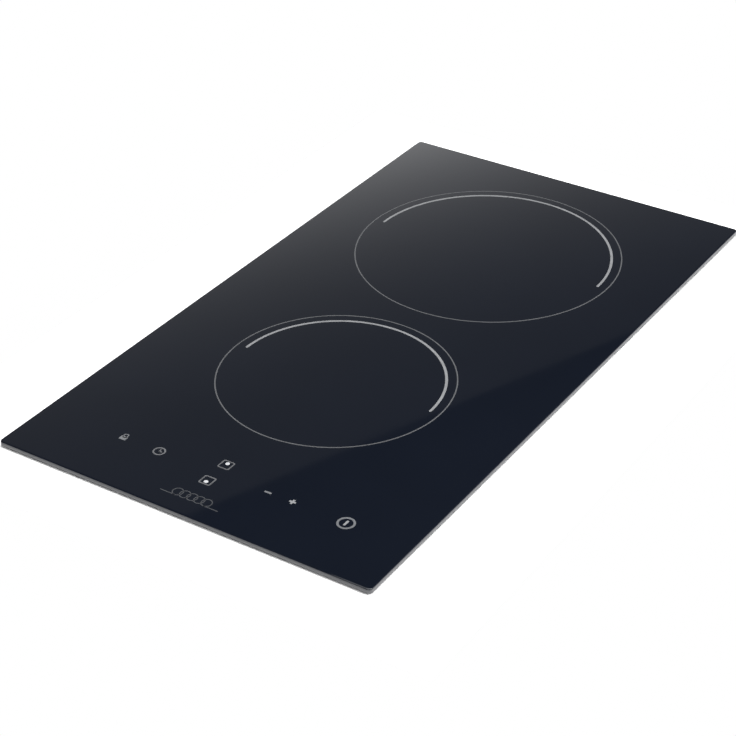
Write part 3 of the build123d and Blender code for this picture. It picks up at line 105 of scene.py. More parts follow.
class Finish:
    """A Principled material whose colour, gloss and relief are worked out from noise sized in metres."""

    NOISE_ROUGHNESS = 0.55

    def __init__(self, name, roughness=0.5, metallic=0.0, ior=1.5):
        self.material = bpy.data.materials.new(name)
        self.material.use_nodes = True
        self.tree = self.material.node_tree
        self.shader = self.tree.nodes["Principled BSDF"]
        self.shader.inputs["Roughness"].default_value = roughness
        self.shader.inputs["Metallic"].default_value = metallic
        self.shader.inputs["IOR"].default_value = ior
        self.place = self.tree.nodes.new("ShaderNodeTexCoord").outputs["Object"]

    def link(self, output, target):
        self.tree.links.new(output, target)

    def stretched(self, stretch):
        """Object coordinates, with each axis scaled."""
        mapping = self.tree.nodes.new("ShaderNodeMapping")
        mapping.vector_type = "TEXTURE"
        mapping.inputs["Scale"].default_value = stretch
        self.link(self.place, mapping.inputs["Vector"])
        return mapping.outputs["Vector"]

    def noise(self, size, detail=4.0, stretch=None):
        """Cloudy pattern whose features are about size metres across."""
        node = self.tree.nodes.new("ShaderNodeTexNoise")
        node.inputs["Scale"].default_value = 1.0 / size
        node.inputs["Detail"].default_value = detail
        node.inputs["Roughness"].default_value = self.NOISE_ROUGHNESS
        self.link(self.stretched(stretch) if stretch else self.place, node.inputs["Vector"])
        return node.outputs["Fac"]

    def cells(self, size, output="Distance", stretch=None):
        """Voronoi cells about size metres across."""
        node = self.tree.nodes.new("ShaderNodeTexVoronoi")
        node.inputs["Scale"].default_value = 1.0 / size
        self.link(self.stretched(stretch) if stretch else self.place, node.inputs["Vector"])
        return node.outputs[output]

    def cell_tones(self, size, stretch=None):
        """Voronoi cells that each have a grey tone of their own."""
        tone = self.tree.nodes.new("ShaderNodeRGBToBW")
        self.link(self.cells(size, "Color", stretch), tone.inputs["Color"])
        return tone.outputs["Val"]

    def waves(self, size, distortion=0.0, turn=(0.0, 0.0, 0.0)):
        """Parallel bands size metres apart, turned about the three axes."""
        mapping = self.tree.nodes.new("ShaderNodeMapping")
        mapping.inputs["Rotation"].default_value = turn
        self.link(self.place, mapping.inputs["Vector"])
        node = self.tree.nodes.new("ShaderNodeTexWave")
        node.inputs["Scale"].default_value = pi / (10.0 * size)
        node.inputs["Distortion"].default_value = distortion
        self.link(mapping.outputs["Vector"], node.inputs["Vector"])
        return node.outputs["Fac"]

    def one_axis(self, axis):
        """One of the object coordinates."""
        node = self.tree.nodes.new("ShaderNodeSeparateXYZ")
        self.link(self.place, node.inputs["Vector"])
        return node.outputs[axis]

    def product(self, first, second):
        node = self.tree.nodes.new("ShaderNodeMath")
        node.operation = "MULTIPLY"
        self.link(first, node.inputs[0])
        self.link(second, node.inputs[1])
        return node.outputs["Value"]

    def spread(self, value, low, high, start=0.3, end=0.7):
        """The value, stretched from start..end to low..high."""
        node = self.tree.nodes.new("ShaderNodeMapRange")
        node.inputs["From Min"].default_value = start
        node.inputs["From Max"].default_value = end
        node.inputs["To Min"].default_value = low
        node.inputs["To Max"].default_value = high
        self.link(value, node.inputs["Value"])
        return node.outputs["Result"]

    def tint(self, value, dark, light, start=0.3, end=0.7):
        """A colour between dark and light."""
        node = self.tree.nodes.new("ShaderNodeValToRGB")
        node.color_ramp.elements[0].position = start
        node.color_ramp.elements[0].color = (*dark, 1.0)
        node.color_ramp.elements[1].position = end
        node.color_ramp.elements[1].color = (*light, 1.0)
        self.link(value, node.inputs["Fac"])
        return node.outputs["Color"]

    def blend(self, factor, first, second):
        """Two colours, mixed by factor."""
        node = self.tree.nodes.new("ShaderNodeMix")
        node.data_type = "RGBA"
        self.link(factor, node.inputs["Factor"])
        self.link(first, node.inputs[6])
        self.link(second, node.inputs[7])
        return node.outputs[2]

    def colour(self, output):
        self.link(output, self.shader.inputs["Base Color"])

    def gloss(self, output):
        self.link(output, self.shader.inputs["Roughness"])

    def relief(self, output, depth):
        """Bump of the given depth in metres."""
        node = self.tree.nodes.new("ShaderNodeBump")
        node.inputs["Distance"].default_value = depth
        self.link(output, node.inputs["Height"])
        self.link(node.outputs["Normal"], self.shader.inputs["Normal"])


def scaled(colour, factor):
    return tuple(channel * factor for channel in colour)


def moulded(name, colour, roughness=0.5, grain=0.5 * MM, depth=0.02 * MM, contrast=0.18):
    """Moulded plastic: fine spark-eroded grain over slow changes of tone."""
    finish = Finish(name, roughness)
    slow = finish.noise(14 * MM, detail=3.0)
    fine = finish.noise(grain, detail=2.0)
    finish.colour(finish.tint(slow, scaled(colour, 1 - contrast), scaled(colour, 1 + contrast)))
    finish.gloss(finish.spread(fine, roughness - 0.08, roughness + 0.08))
    finish.relief(fine, depth)
    return finish.material


def drawn_metal(name, colour, roughness=0.3, stretch=(1.0, 14.0, 1.0), grain=0.25 * MM, metallic=1.0):
    """Rolled or drawn metal: long fine streaks, with a little bloom."""
    finish = Finish(name, roughness, metallic)
    streaks = finish.noise(grain, detail=3.0, stretch=stretch)
    bloom = finish.noise(22 * MM, detail=4.0)
    finish.colour(finish.tint(bloom, scaled(colour, 0.86), scaled(colour, 1.04)))
    finish.gloss(finish.spread(streaks, roughness - 0.1, roughness + 0.12))
    finish.relief(streaks, 0.004 * MM)
    return finish.material


def polished_glass():
    """Black glass-ceramic, fire-polished: a navy body colour under a clear reflection."""
    finish = Finish("glass_polished", roughness=0.03, ior=1.5)
    cloud = finish.noise(90 * MM, detail=2.0)
    finish.colour(finish.tint(cloud, (0.0050, 0.0068, 0.0118), (0.0056, 0.0076, 0.0132)))
    smear = finish.noise(35 * MM, detail=5.0, stretch=(1.0, 2.4, 1.0))
    finish.gloss(finish.spread(smear, 0.02, 0.045))
    ripple = finish.noise(45 * MM, detail=1.0)
    finish.relief(ripple, 0.0006 * MM)
    return finish.material


def ground_glass(name, shade=1.0, shine=0.5):
    """Ground glass: satin, with fine marks of the wheel; its colour turns darker towards the plate's
    polished face, which is painted shade.
    """
    finish = Finish(name, roughness=0.32, ior=1.5)
    finish.shader.inputs["Specular IOR Level"].default_value = shine
    marks = finish.noise(0.22 * MM, detail=3.0, stretch=(9.0, 9.0, 1.0))
    pale = finish.tint(marks, scaled((0.046, 0.047, 0.051), shade), scaled((0.074, 0.075, 0.080), shade))
    # dark is painted shade, laid on the top of the edge's ground face.
    dark = finish.tint(marks, (0.016, 0.016, 0.019), (0.028, 0.028, 0.032))
    upper = GLASS_TOP - GLASS_ROUNDING
    height = finish.spread(finish.one_axis("Z"), 0.0, 1.0, upper - PAINTED_SHADE_DEPTH, upper)
    finish.colour(finish.blend(height, pale, dark))
    finish.gloss(finish.spread(marks, 0.26, 0.4))
    finish.relief(marks, 0.006 * MM)
    return finish.material


def fired_enamel(name, colour):
    """Ceramic ink, screened on the glass and fired: a fine dot screen with soft edges."""
    finish = Finish(name, roughness=0.42, ior=1.5)
    dots = finish.cells(0.14 * MM)
    patches = finish.noise(6 * MM, detail=3.0)
    body = finish.tint(patches, scaled(colour, 0.9), scaled(colour, 1.08))
    thin = finish.tint(patches, scaled(colour, 0.72), scaled(colour, 0.86))
    finish.colour(finish.blend(finish.spread(dots, 0.0, 1.0, 0.35, 0.75), body, thin))
    finish.gloss(finish.spread(patches, 0.36, 0.5))
    finish.relief(dots, 0.004 * MM)
    return finish.material


def galvanised():
    """Hot-dipped zinc on sheet steel: crystals with their own tone and gloss, and a fine bloom."""
    finish = Finish("galvanised_sheet", roughness=0.4, metallic=0.85)
    crystal = finish.cell_tones(4.5 * MM, stretch=(1.0, 1.25, 1.0))
    bloom = finish.noise(2.2 * MM, detail=5.0)
    spangle = finish.tint(crystal, (0.46, 0.48, 0.50), (0.64, 0.66, 0.68), 0.15, 0.85)
    dull = finish.tint(bloom, (0.42, 0.44, 0.46), (0.60, 0.62, 0.64))
    finish.colour(finish.blend(finish.spread(bloom, 0.25, 0.7), spangle, dull))
    finish.gloss(finish.spread(crystal, 0.30, 0.50, 0.15, 0.85))
    finish.relief(bloom, 0.012 * MM)
    return finish.material


def powder_coat():
    """Black powder coat with its orange-peel surface."""
    finish = Finish("powder_coat_black", roughness=0.42)
    peel = finish.noise(0.7 * MM, detail=2.0)
    finish.colour(finish.tint(finish.noise(9 * MM), (0.030, 0.031, 0.033), (0.048, 0.049, 0.052)))
    finish.gloss(finish.spread(peel, 0.36, 0.5))
    finish.relief(peel, 0.05 * MM)
    return finish.material


def zinc_plate():
    """Bright zinc plate on screws and small steel parts, with a faint warm and cool bloom."""
    finish = Finish("zinc_plate", roughness=0.28, metallic=1.0)
    bloom = finish.noise(3 * MM, detail=4.0)
    finish.colour(finish.tint(bloom, (0.60, 0.60, 0.62), (0.76, 0.74, 0.66)))
    finish.gloss(finish.spread(finish.noise(0.3 * MM), 0.2, 0.4))
    finish.relief(finish.noise(0.2 * MM), 0.008 * MM)
    return finish.material


def spring_wire():
    """Drawn spring wire: dark steel with lengthways scratches."""
    finish = Finish("spring_wire", roughness=0.3, metallic=1.0)
    marks = finish.noise(0.15 * MM, detail=3.0, stretch=(6.0, 6.0, 1.0))
    finish.colour(finish.tint(marks, (0.34, 0.34, 0.36), (0.52, 0.52, 0.54)))
    finish.gloss(finish.spread(marks, 0.22, 0.4))
    return finish.material


def closed_foam(name, colour):
    """Closed-cell foam with small burst cells in its skin, with painted shade in them."""
    finish = Finish(name, roughness=0.85)
    pores = finish.cells(0.6 * MM)
    # The colour is darker in the middle of each cell, where the bump dips into a pit: painted shade.
    finish.colour(finish.tint(pores, scaled(colour, 0.6), scaled(colour, 1.2), 0.1, 0.6))
    finish.relief(pores, 0.12 * MM)
    return finish.material


def silicone(name, colour):
    """Cured silicone: smooth, slightly greasy, with small pits."""
    finish = Finish(name, roughness=0.38, ior=1.41)
    skin = finish.noise(4 * MM, detail=3.0)
    finish.colour(finish.tint(skin, scaled(colour, 0.88), scaled(colour, 1.08)))
    finish.gloss(finish.spread(skin, 0.3, 0.48))
    finish.relief(finish.noise(1.2 * MM), 0.05 * MM)
    return finish.material


def mica():
    """Pressed mica: pale flakes in a warm resin, with a pearly shine."""
    finish = Finish("mica_sheet", roughness=0.45)
    flakes = finish.cell_tones(1.6 * MM)
    finish.colour(finish.tint(flakes, (0.42, 0.35, 0.24), (0.62, 0.56, 0.45), 0.1, 0.9))
    finish.gloss(finish.spread(flakes, 0.3, 0.6, 0.1, 0.9))
    finish.relief(finish.noise(0.8 * MM), 0.02 * MM)
    return finish.material


def sintered(name, colour, metallic=0.0, pore=0.35 * MM):
    """Pressed and sintered powder: a grainy surface with open pores, with painted shade in the pores."""
    finish = Finish(name, roughness=0.55, metallic=metallic)
    grains = finish.cells(pore)
    # The colour is darker in the middle of each grain cell, where the bump dips into a pore: painted shade.
    finish.colour(finish.tint(grains, scaled(colour, 0.65), scaled(colour, 1.15), 0.15, 0.6))
    finish.gloss(finish.spread(grains, 0.62, 0.42, 0.1, 0.6))
    finish.relief(grains, 0.03 * MM)
    return finish.material


def litz_wire():
    """Enamelled copper strands, twisted into a bundle, with painted shade in the grooves between them."""
    finish = Finish("litz_copper", roughness=0.35, metallic=0.9)
    strands = finish.waves(0.45 * MM, distortion=1.2, turn=(0.0, 0.0, radians(45)))
    bloom = finish.noise(5 * MM, detail=3.0)
    # The colour is darker in the grooves between the strands, where the bump dips: painted shade.
    bright = finish.tint(bloom, (0.60, 0.25, 0.11), (0.78, 0.36, 0.18))
    dark = finish.tint(bloom, (0.26, 0.09, 0.04), (0.36, 0.14, 0.07))
    finish.colour(finish.blend(strands, dark, bright))
    finish.relief(strands, 0.08 * MM)
    return finish.material


def circuit_board():
    """Green solder mask over copper tracks, with pale tinned pads."""
    finish = Finish("circuit_board", roughness=0.35)
    tracks = finish.tree.nodes.new("ShaderNodeTexBrick")
    tracks.offset = 0.35
    tracks.squash = 0.6
    tracks.squash_frequency = 3
    tracks.inputs["Scale"].default_value = 1.0 / (20 * MM)
    tracks.inputs["Brick Width"].default_value = 0.8
    tracks.inputs["Row Height"].default_value = 0.1
    tracks.inputs["Mortar Size"].default_value = 0.012
    tracks.inputs["Color1"].default_value = (0.016, 0.105, 0.040, 1.0)
    tracks.inputs["Color2"].default_value = (0.022, 0.130, 0.050, 1.0)
    tracks.inputs["Mortar"].default_value = (0.010, 0.058, 0.024, 1.0)
    finish.link(finish.place, tracks.inputs["Vector"])
    pads = finish.cells(5.5 * MM)
    tin = finish.tint(finish.noise(0.8 * MM), (0.50, 0.52, 0.50), (0.66, 0.67, 0.64))
    finish.colour(finish.blend(finish.spread(pads, 1.0, 0.0, 0.12, 0.15), tracks.outputs["Color"], tin))
    finish.relief(tracks.outputs["Fac"], -0.03 * MM)
    return finish.material


def woven_sleeve():
    """Braided glass-fibre sleeve, soaked in dark varnish, with painted shade between the yarns."""
    finish = Finish("woven_sleeve", roughness=0.6)
    one_way = finish.waves(0.7 * MM, turn=(radians(45), 0.0, radians(45)))
    other_way = finish.waves(0.7 * MM, turn=(radians(-45), 0.0, radians(-45)))
    weave = finish.product(one_way, other_way)
    # The colour is darker where the weave's bump is low, between the yarns: painted shade.
    finish.colour(finish.tint(weave, (0.045, 0.045, 0.048), (0.16, 0.16, 0.165), 0.05, 0.7))
    finish.relief(weave, 0.12 * MM)
    return finish.material


def can_sleeve():
    """Shrunk plastic sleeve of a capacitor can: smooth dark blue with faint drawing lines."""
    finish = Finish("can_sleeve", roughness=0.25)
    lines = finish.noise(0.6 * MM, stretch=(1.0, 1.0, 12.0))
    finish.colour(finish.tint(lines, (0.018, 0.040, 0.150), (0.030, 0.062, 0.210)))
    finish.gloss(finish.spread(lines, 0.18, 0.34))
    finish.relief(lines, 0.01 * MM)
    return finish.material


GLASS_FACE = polished_glass()
GLASS_EDGE = ground_glass("glass_ground_edge")
# The lower arris's colour is darkened to 0.45: painted shade for the shadow under the glass's edge.
GLASS_ARRIS_PAINTED_SHADE = ground_glass("glass_arris_painted_shade", shade=0.45, shine=0.15)
ENAMEL_WHITE = fired_enamel("enamel_white", (0.59, 0.60, 0.62))
ENAMEL_PALE = fired_enamel("enamel_pale", (0.254, 0.260, 0.270))
ENAMEL_GREY = fired_enamel("enamel_grey", (0.160, 0.165, 0.175))
ENAMEL_POWER = fired_enamel("enamel_power", (0.140, 0.146, 0.156))
ENAMEL_TIMER = fired_enamel("enamel_timer", (0.122, 0.125, 0.133))
ENAMEL_DIM = fired_enamel("enamel_dim", (0.104, 0.107, 0.114))
ENAMEL_FAINT = fired_enamel("enamel_faint", (0.051, 0.054, 0.061))

FINISHES = {
    "black_glass": GLASS_FACE,
    "print": ENAMEL_PALE,
    "seal_foam": closed_foam("seal_foam", (0.028, 0.028, 0.030)),
    "silicone": silicone("silicone_bead", (0.085, 0.087, 0.092)),
    "zinc_sheet": galvanised(),
    "frame_steel": powder_coat(),
    "zinc_steel": zinc_plate(),
    "aluminium": drawn_metal("mill_aluminium", (0.76, 0.77, 0.78), 0.34),
    "mica": mica(),
    "ferrite": sintered("ferrite", (0.050, 0.050, 0.054)),
    "former_plastic": moulded("glass_filled_polymer", (0.040, 0.040, 0.042), 0.55, 0.9 * MM, 0.04 * MM, 0.3),
    "litz_copper": litz_wire(),
    "sensor_silicone": silicone("sensor_silicone", (0.74, 0.74, 0.71)),
    "spring_steel": spring_wire(),
    "board_green": circuit_board(),
    "black_resin": moulded("moulded_resin", (0.020, 0.020, 0.022), 0.45, 0.3 * MM),
    "film_yellow": moulded("capacitor_box", (0.66, 0.43, 0.05), 0.4, 0.6 * MM),
    "can_blue": can_sleeve(),
    "module_grey": moulded("module_housing", (0.13, 0.135, 0.145), 0.45, 0.4 * MM),
    "connector_white": moulded("natural_polyamide", (0.74, 0.73, 0.67), 0.4, 0.8 * MM, 0.02 * MM, 0.06),
    "fan_black": moulded("fan_plastic", (0.028, 0.028, 0.032), 0.42, 0.5 * MM),
    "terminal_grey": moulded("terminal_polymer", (0.25, 0.26, 0.27), 0.5, 0.5 * MM),
    "magnet": sintered("bonded_magnet", (0.045, 0.045, 0.048)),
    "bronze": sintered("sintered_bronze", (0.52, 0.34, 0.16), 0.9, 0.25 * MM),
    "wire_sleeve": woven_sleeve(),
    "touch_foam": closed_foam("touch_foam", (0.090, 0.090, 0.094)),
    "display_black": moulded("display_window", (0.012, 0.012, 0.014), 0.16, 2.0 * MM, 0.002 * MM),
}

for part in frame["record"]["subparts"]:
    node = frame["nodes"][part["node"]]
    node.data.materials.clear()
    node.data.materials.append(FINISHES[part["material_slot"]])

# ---------------------------------------------------------------- mesh helpers

SMALL_CORNER_STEPS = 6
BAND_END_STEPS = 12


def piece_from(name, mesh_data, materials, smooth=True):
    """Turn a bmesh into an object in the scene."""
    bmesh.ops.recalc_face_normals(mesh_data, faces=mesh_data.faces)
    mesh = bpy.data.meshes.new(name)
    mesh_data.to_mesh(mesh)
    mesh_data.free()
    for material in materials:
        mesh.materials.append(material)
    for polygon in mesh.polygons:
        polygon.use_smooth = smooth
    piece = bpy.data.objects.new(name, mesh)
    scene.collection.objects.link(piece)
    return piece


def rounded_outline(half_width, half_depth, corner, steps, centre=(0.0, 0.0)):
    """Points round a rectangle with rounded corners, anticlockwise."""
    points = []
    corners = [(1, 1, 0.0), (-1, 1, pi / 2), (-1, -1, pi), (1, -1, 3 * pi / 2)]
    for side_x, side_y, start in corners:
        middle_x = centre[0] + side_x * (half_width - corner)
        middle_y = centre[1] + side_y * (half_depth - corner)
        for step in range(steps + 1):
            angle = start + (pi / 2) * step / steps
            points.append((middle_x + corner * cos(angle), middle_y + corner * sin(angle)))
    return points


def on_circle(x, y, radius, angle):
    return x + radius * cos(angle), y + radius * sin(angle)


def circle_outline(x, y, radius, steps):
    return [on_circle(x, y, radius, 2 * pi * i / steps) for i in range(steps)]


def arc_outline(x, y, inner, outer, start, end, steps):
    """Outline of a band that follows an arc, with rounded ends. Angles in radians."""
    points = []
    middle = (inner + outer) / 2
    half = (outer - inner) / 2
    for radius, first, last, end_turn in ((outer, start, end, 0.0), (inner, end, start, pi)):
        for step in range(steps + 1):
            points.append(on_circle(x, y, radius, first + (last - first) * step / steps))
        tip = on_circle(x, y, middle, last)
        for step in range(1, BAND_END_STEPS):
            points.append(on_circle(*tip, half, last + end_turn + pi * step / BAND_END_STEPS))
    return points


def bar_outline(x, y, width, depth, corner):
    return rounded_outline(width / 2, depth / 2, corner, SMALL_CORNER_STEPS, (x, y))


def loop_at(mesh_data, outline, height):
    return [mesh_data.verts.new((x, y, height)) for x, y in outline]


def bridge(mesh_data, first, second, closed=True):
    """Faces between two rows with the same number of points."""
    count = len(first)
    faces = []
    for i in range(count if closed else count - 1):
        following = (i + 1) % count
        corners = (first[i], first[following], second[following], second[i])
        faces.append(mesh_data.faces.new(corners))
    return faces


def add_plate(mesh_data, outline, low, high):
    """Flat plate between two heights, from its outline."""
    top = loop_at(mesh_data, outline, high)
    bottom = loop_at(mesh_data, outline, low)
    mesh_data.faces.new(top)
    mesh_data.faces.new(list(reversed(bottom)))
    bridge(mesh_data, bottom, top)


def add_frame(mesh_data, outer, inner, low, high):
    """Flat plate with a hole: outer and inner outlines have the same number of points."""
    sections = ((outer, high), (inner, high), (inner, low), (outer, low))
    loops = [loop_at(mesh_data, outline, height) for outline, height in sections]
    for first, second in zip(loops, loops[1:] + loops[:1]):
        bridge(mesh_data, first, second)


# ---------------------------------------------------------------- glass plate

# Finishes of the plate, by the number of the material.
POLISHED, GROUND, ARRIS = range(3)
EDGE_STEPS = 10
CORNER_STEPS = 14
SMALLEST_CORNER = 0.5 * MM
SUPPORT_INSET = 0.25 * MM


def glass_profile():
    """Inset and height of each loop, from the top face round the edge to the underside."""
    angles = [(pi / 2) * step / EDGE_STEPS for step in range(EDGE_STEPS + 1)]
    profile = [(GLASS_ROUNDING + SUPPORT_INSET, GLASS_TOP)]
    for angle in angles:
        height = GLASS_TOP - GLASS_ROUNDING * (1 - cos(angle))
        profile.append((GLASS_ROUNDING * (1 - sin(angle)), height))
    for angle in angles:
        height = GLASS_UNDERSIDE + GLASS_ROUNDING * (1 - sin(angle))
        profile.append((GLASS_ROUNDING * (1 - cos(angle)), height))
    profile.append((GLASS_ROUNDING + SUPPORT_INSET, GLASS_UNDERSIDE))
    return profile


def make_glass_plate():
    """The plate, with finely rounded edges: polished above, ground on the edge, and duller below, where the
    arris is darkened with painted shade.
    """
    mesh_data = bmesh.new()
    loops = []
    for inset, height in glass_profile():
        corner = max(GLASS_CORNER - inset, SMALLEST_CORNER)
        outline = rounded_outline(GLASS_HALF_WIDTH - inset, GLASS_HALF_DEPTH - inset, corner, CORNER_STEPS)
        loops.append(loop_at(mesh_data, outline, height))
    straight = EDGE_STEPS + 1
    for level in range(len(loops) - 1):
        finish = POLISHED
        if level == straight:
            finish = GROUND
        elif straight < level < len(loops) - 2:
            finish = ARRIS
        for face in bridge(mesh_data, loops[level], loops[level + 1]):
            face.material_index = finish
    mesh_data.faces.new(loops[0])
    mesh_data.faces.new(list(reversed(loops[-1])))
    plate = piece_from("glass_plate", mesh_data, [GLASS_FACE, GLASS_EDGE, GLASS_ARRIS_PAINTED_SHADE])
    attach(plate, "casing")
    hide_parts("glass_top")


make_glass_plate()

# ---------------------------------------------------------------- prints on the glass

RING_WIDTH = 0.9 * MM
ARC_WIDTH = 1.9 * MM
ARC_INSET = 7.5 * MM
RING_STEPS = 288

# Places and sizes of the touch symbols. A bar or square is given by its width, depth and corner radius,
# and the padlock's shackle by its half width, half depth and corner radius.
KEY_LINE = -212.8 * MM
LOCK_X = -77.5 * MM
LOCK_OFFSET = 1.3 * MM
LOCK_BODY = (5.2 * MM, 4.0 * MM, 0.6 * MM)
SHACKLE_OUTER = (1.85 * MM, 2.4 * MM, 1.84 * MM)
SHACKLE_INNER = (1.05 * MM, 1.6 * MM, 1.04 * MM)
SHACKLE_STEPS = 8
TIMER_X = -48.3 * MM
TIMER_Y = -213.6 * MM
TIMER_RADIUS = 3.85 * MM
TIMER_LINE = 1.1 * MM
HAND_WIDTH = 0.9 * MM
HOUR_HAND = 2.7 * MM
HOUR_HAND_RISE = 0.9 * MM
MINUTE_HAND = 2.4 * MM
MINUTE_HAND_SHIFT = 1.0 * MM
ZONE_KEY_X = -2.7 * MM
ZONE_KEY_STEP = 10.0 * MM
ZONE_KEY_OUTER = (9.0 * MM, 9.0 * MM, 1.4 * MM)
ZONE_KEY_INNER = (7.0 * MM, 7.0 * MM, 0.7 * MM)
DOT_RADIUS = 1.5 * MM
DOT_STEPS = 32
MINUS_X = 37.1 * MM
MINUS_WIDTH = 5.2 * MM
SIGN_LINE = 1.5 * MM
SIGN_CORNER = 0.3 * MM
PLUS_X = 55.8 * MM
PLUS_REACH = 2.4 * MM
POWER_X = 96.0 * MM
POWER_Y = -213.2 * MM
POWER_RADIUS = 5.35 * MM
POWER_LINE = 1.5 * MM
POWER_BAR = (1.6 * MM, 5.2 * MM, 0.5 * MM)

# The coil symbol by the front edge.
MARK_Y = -242.2 * MM
MARK_LOOPS = 5
MARK_PITCH = 5.6 * MM
MARK_RADIUS = 3.6 * MM
MARK_LINE = 0.7 * MM
MARK_STEPS = 48
MARK_LEAD_X = 3 * MARK_PITCH
MARK_LEAD = (2 * MARK_PITCH, MARK_LINE, 0.2 * MM)


def printed(name, material, plates=(), frames=()):
    """A flat print on the glass, made of plates and of rings given as pairs of outlines."""
    mesh_data = bmesh.new()
    for outline in plates:
        add_plate(mesh_data, outline, GLASS_TOP, PRINT_TOP)
    for outer, inner in frames:
        add_frame(mesh_data, outer, inner, GLASS_TOP, PRINT_TOP)
    piece = piece_from(name, mesh_data, [material], smooth=False)
    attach(piece, "casing")
    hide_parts("glass_print")


def ring(x, y, radius, width, steps=64):
    """Two circles, either side of the given radius."""
    return tuple(circle_outline(x, y, radius + side * width / 2, steps) for side in (1, -1))


def plus_outline(x, y):
    """Twelve corners of a plus sign: three for each arm."""
    reach, half = PLUS_REACH, SIGN_LINE / 2
    points = []
    for turn in range(4):
        angle = turn * pi / 2
        for ahead, across in ((reach, -half), (reach, half), (half, half)):
            corner_x = ahead * cos(angle) - across * sin(angle)
            corner_y = ahead * sin(angle) + across * cos(angle)
            points.append((x + corner_x, y + corner_y))
    return points


for zone, place in ZONES.items():
    circle = ring(0, place["y"], place["radius"], RING_WIDTH, RING_STEPS)
    printed(f"{zone}_ring_print", ENAMEL_DIM, frames=[circle])
    inner = place["radius"] - ARC_INSET - ARC_WIDTH / 2
    outer = place["radius"] - ARC_INSET + ARC_WIDTH / 2
    half_arc = arc_outline(0, place["y"], inner, outer, 0.0, pi, RING_STEPS // 2)
    printed(f"{zone}_arc_print", ENAMEL_PALE, plates=[half_arc])

shackle_middle = (LOCK_X, KEY_LINE + LOCK_OFFSET)
shackle = (
    rounded_outline(*SHACKLE_OUTER, SHACKLE_STEPS, shackle_middle),
    rounded_outline(*SHACKLE_INNER, SHACKLE_STEPS, shackle_middle),
)
lock_body = bar_outline(LOCK_X, KEY_LINE - LOCK_OFFSET, *LOCK_BODY)
printed("lock_symbol", ENAMEL_GREY, plates=[lock_body], frames=[shackle])

hour_hand = bar_outline(TIMER_X, TIMER_Y + HOUR_HAND_RISE, HAND_WIDTH, HOUR_HAND, SIGN_CORNER)
minute_hand = bar_outline(TIMER_X + MINUTE_HAND_SHIFT, TIMER_Y, MINUTE_HAND, HAND_WIDTH, SIGN_CORNER)
dial = ring(TIMER_X, TIMER_Y, TIMER_RADIUS, TIMER_LINE)
printed("timer_symbol", ENAMEL_TIMER, plates=[hour_hand, minute_hand], frames=[dial])

for zone, side in (("rear", 1), ("front", -1)):
    key_y = KEY_LINE + side * ZONE_KEY_STEP
    square = [bar_outline(ZONE_KEY_X, key_y, *size) for size in (ZONE_KEY_OUTER, ZONE_KEY_INNER)]
    printed(f"{zone}_zone_symbol", ENAMEL_DIM, frames=[square])
    dot = circle_outline(ZONE_KEY_X, key_y + side * DOT_RADIUS, DOT_RADIUS, DOT_STEPS)
    printed(f"{zone}_zone_dot", ENAMEL_WHITE, plates=[dot])

minus = bar_outline(MINUS_X, KEY_LINE, MINUS_WIDTH, SIGN_LINE, SIGN_CORNER)
printed("minus_symbol", ENAMEL_GREY, plates=[minus])
printed("plus_symbol", ENAMEL_PALE, plates=[plus_outline(PLUS_X, KEY_LINE)])

power_bar = bar_outline(POWER_X, POWER_Y, *POWER_BAR)
printed("power_bar", ENAMEL_PALE, plates=[power_bar])
printed("power_ring", ENAMEL_POWER, frames=[ring(POWER_X, POWER_Y, POWER_RADIUS, POWER_LINE)])


def coil_mark():
    """Generic coil symbol: a row of loops between two straight leads."""
    first = -MARK_PITCH * (MARK_LOOPS - 1) / 2
    places = [first + i * MARK_PITCH for i in range(MARK_LOOPS)]
    loops = [ring(x, MARK_Y, MARK_RADIUS, MARK_LINE, MARK_STEPS) for x in places]
    leads = [bar_outline(side * MARK_LEAD_X, MARK_Y - MARK_RADIUS, *MARK_LEAD) for side in (-1, 1)]
    printed("coil_mark", ENAMEL_FAINT, plates=leads, frames=loops)


coil_mark()

# ---------------------------------------------------------------- springs under the coil packs

SPRING_TURNS = 4
SPRING_WIRE = 0.4 * MM
SPRING_RADIUS = 4.0 * MM
SPRING_COUNT = 4
SPRING_STEPS = 28
WIRE_SIDES = 8


def add_spring(mesh_data, x, y, low, high):
    """A round wire wound into a helix, with its ends capped."""
    rise = high - low - 2 * SPRING_WIRE
    count = SPRING_TURNS * SPRING_STEPS
    loops = []
    for step in range(count + 1):
        angle = 2 * pi * step / SPRING_STEPS
        out = Vector((cos(angle), sin(angle), 0.0))
        middle = Vector((x, y, low + SPRING_WIRE + rise * step / count)) + out * SPRING_RADIUS
        loop = []
        for side in range(WIRE_SIDES):
            turn = 2 * pi * side / WIRE_SIDES
            rim = out * SPRING_WIRE * cos(turn) + Vector((0, 0, SPRING_WIRE * sin(turn)))
            loop.append(mesh_data.verts.new(middle + rim))
        loops.append(loop)
    for first, second in zip(loops, loops[1:]):
        bridge(mesh_data, first, second)
    mesh_data.faces.new(loops[0])
    mesh_data.faces.new(list(reversed(loops[-1])))


for zone, place in ZONES.items():
    spring_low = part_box(f"{zone}_coil_springs")[0].z
    spring_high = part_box(f"{zone}_coil_springs")[1].z
    springs_data = bmesh.new()
    for number in range(SPRING_COUNT):
        angle = pi / 4 + number * 2 * pi / SPRING_COUNT
        x, y = on_circle(0.0, place["y"], place["springs"], angle)
        add_spring(springs_data, x, y, spring_low, spring_high)
    springs = piece_from(f"{zone}_springs", springs_data, [FINISHES["spring_steel"]])
    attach(springs, "casing")
    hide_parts(f"{zone}_coil_springs")
    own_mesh(springs)

# ---------------------------------------------------------------- worktop that the cooktop is let into

WORKTOP_THICKNESS = 4 * MM
WORKTOP_GAP = 0.5 * MM
REBATE_CLEARANCE = 0.2 * MM
SHADOW_STRIP = 0.9 * MM
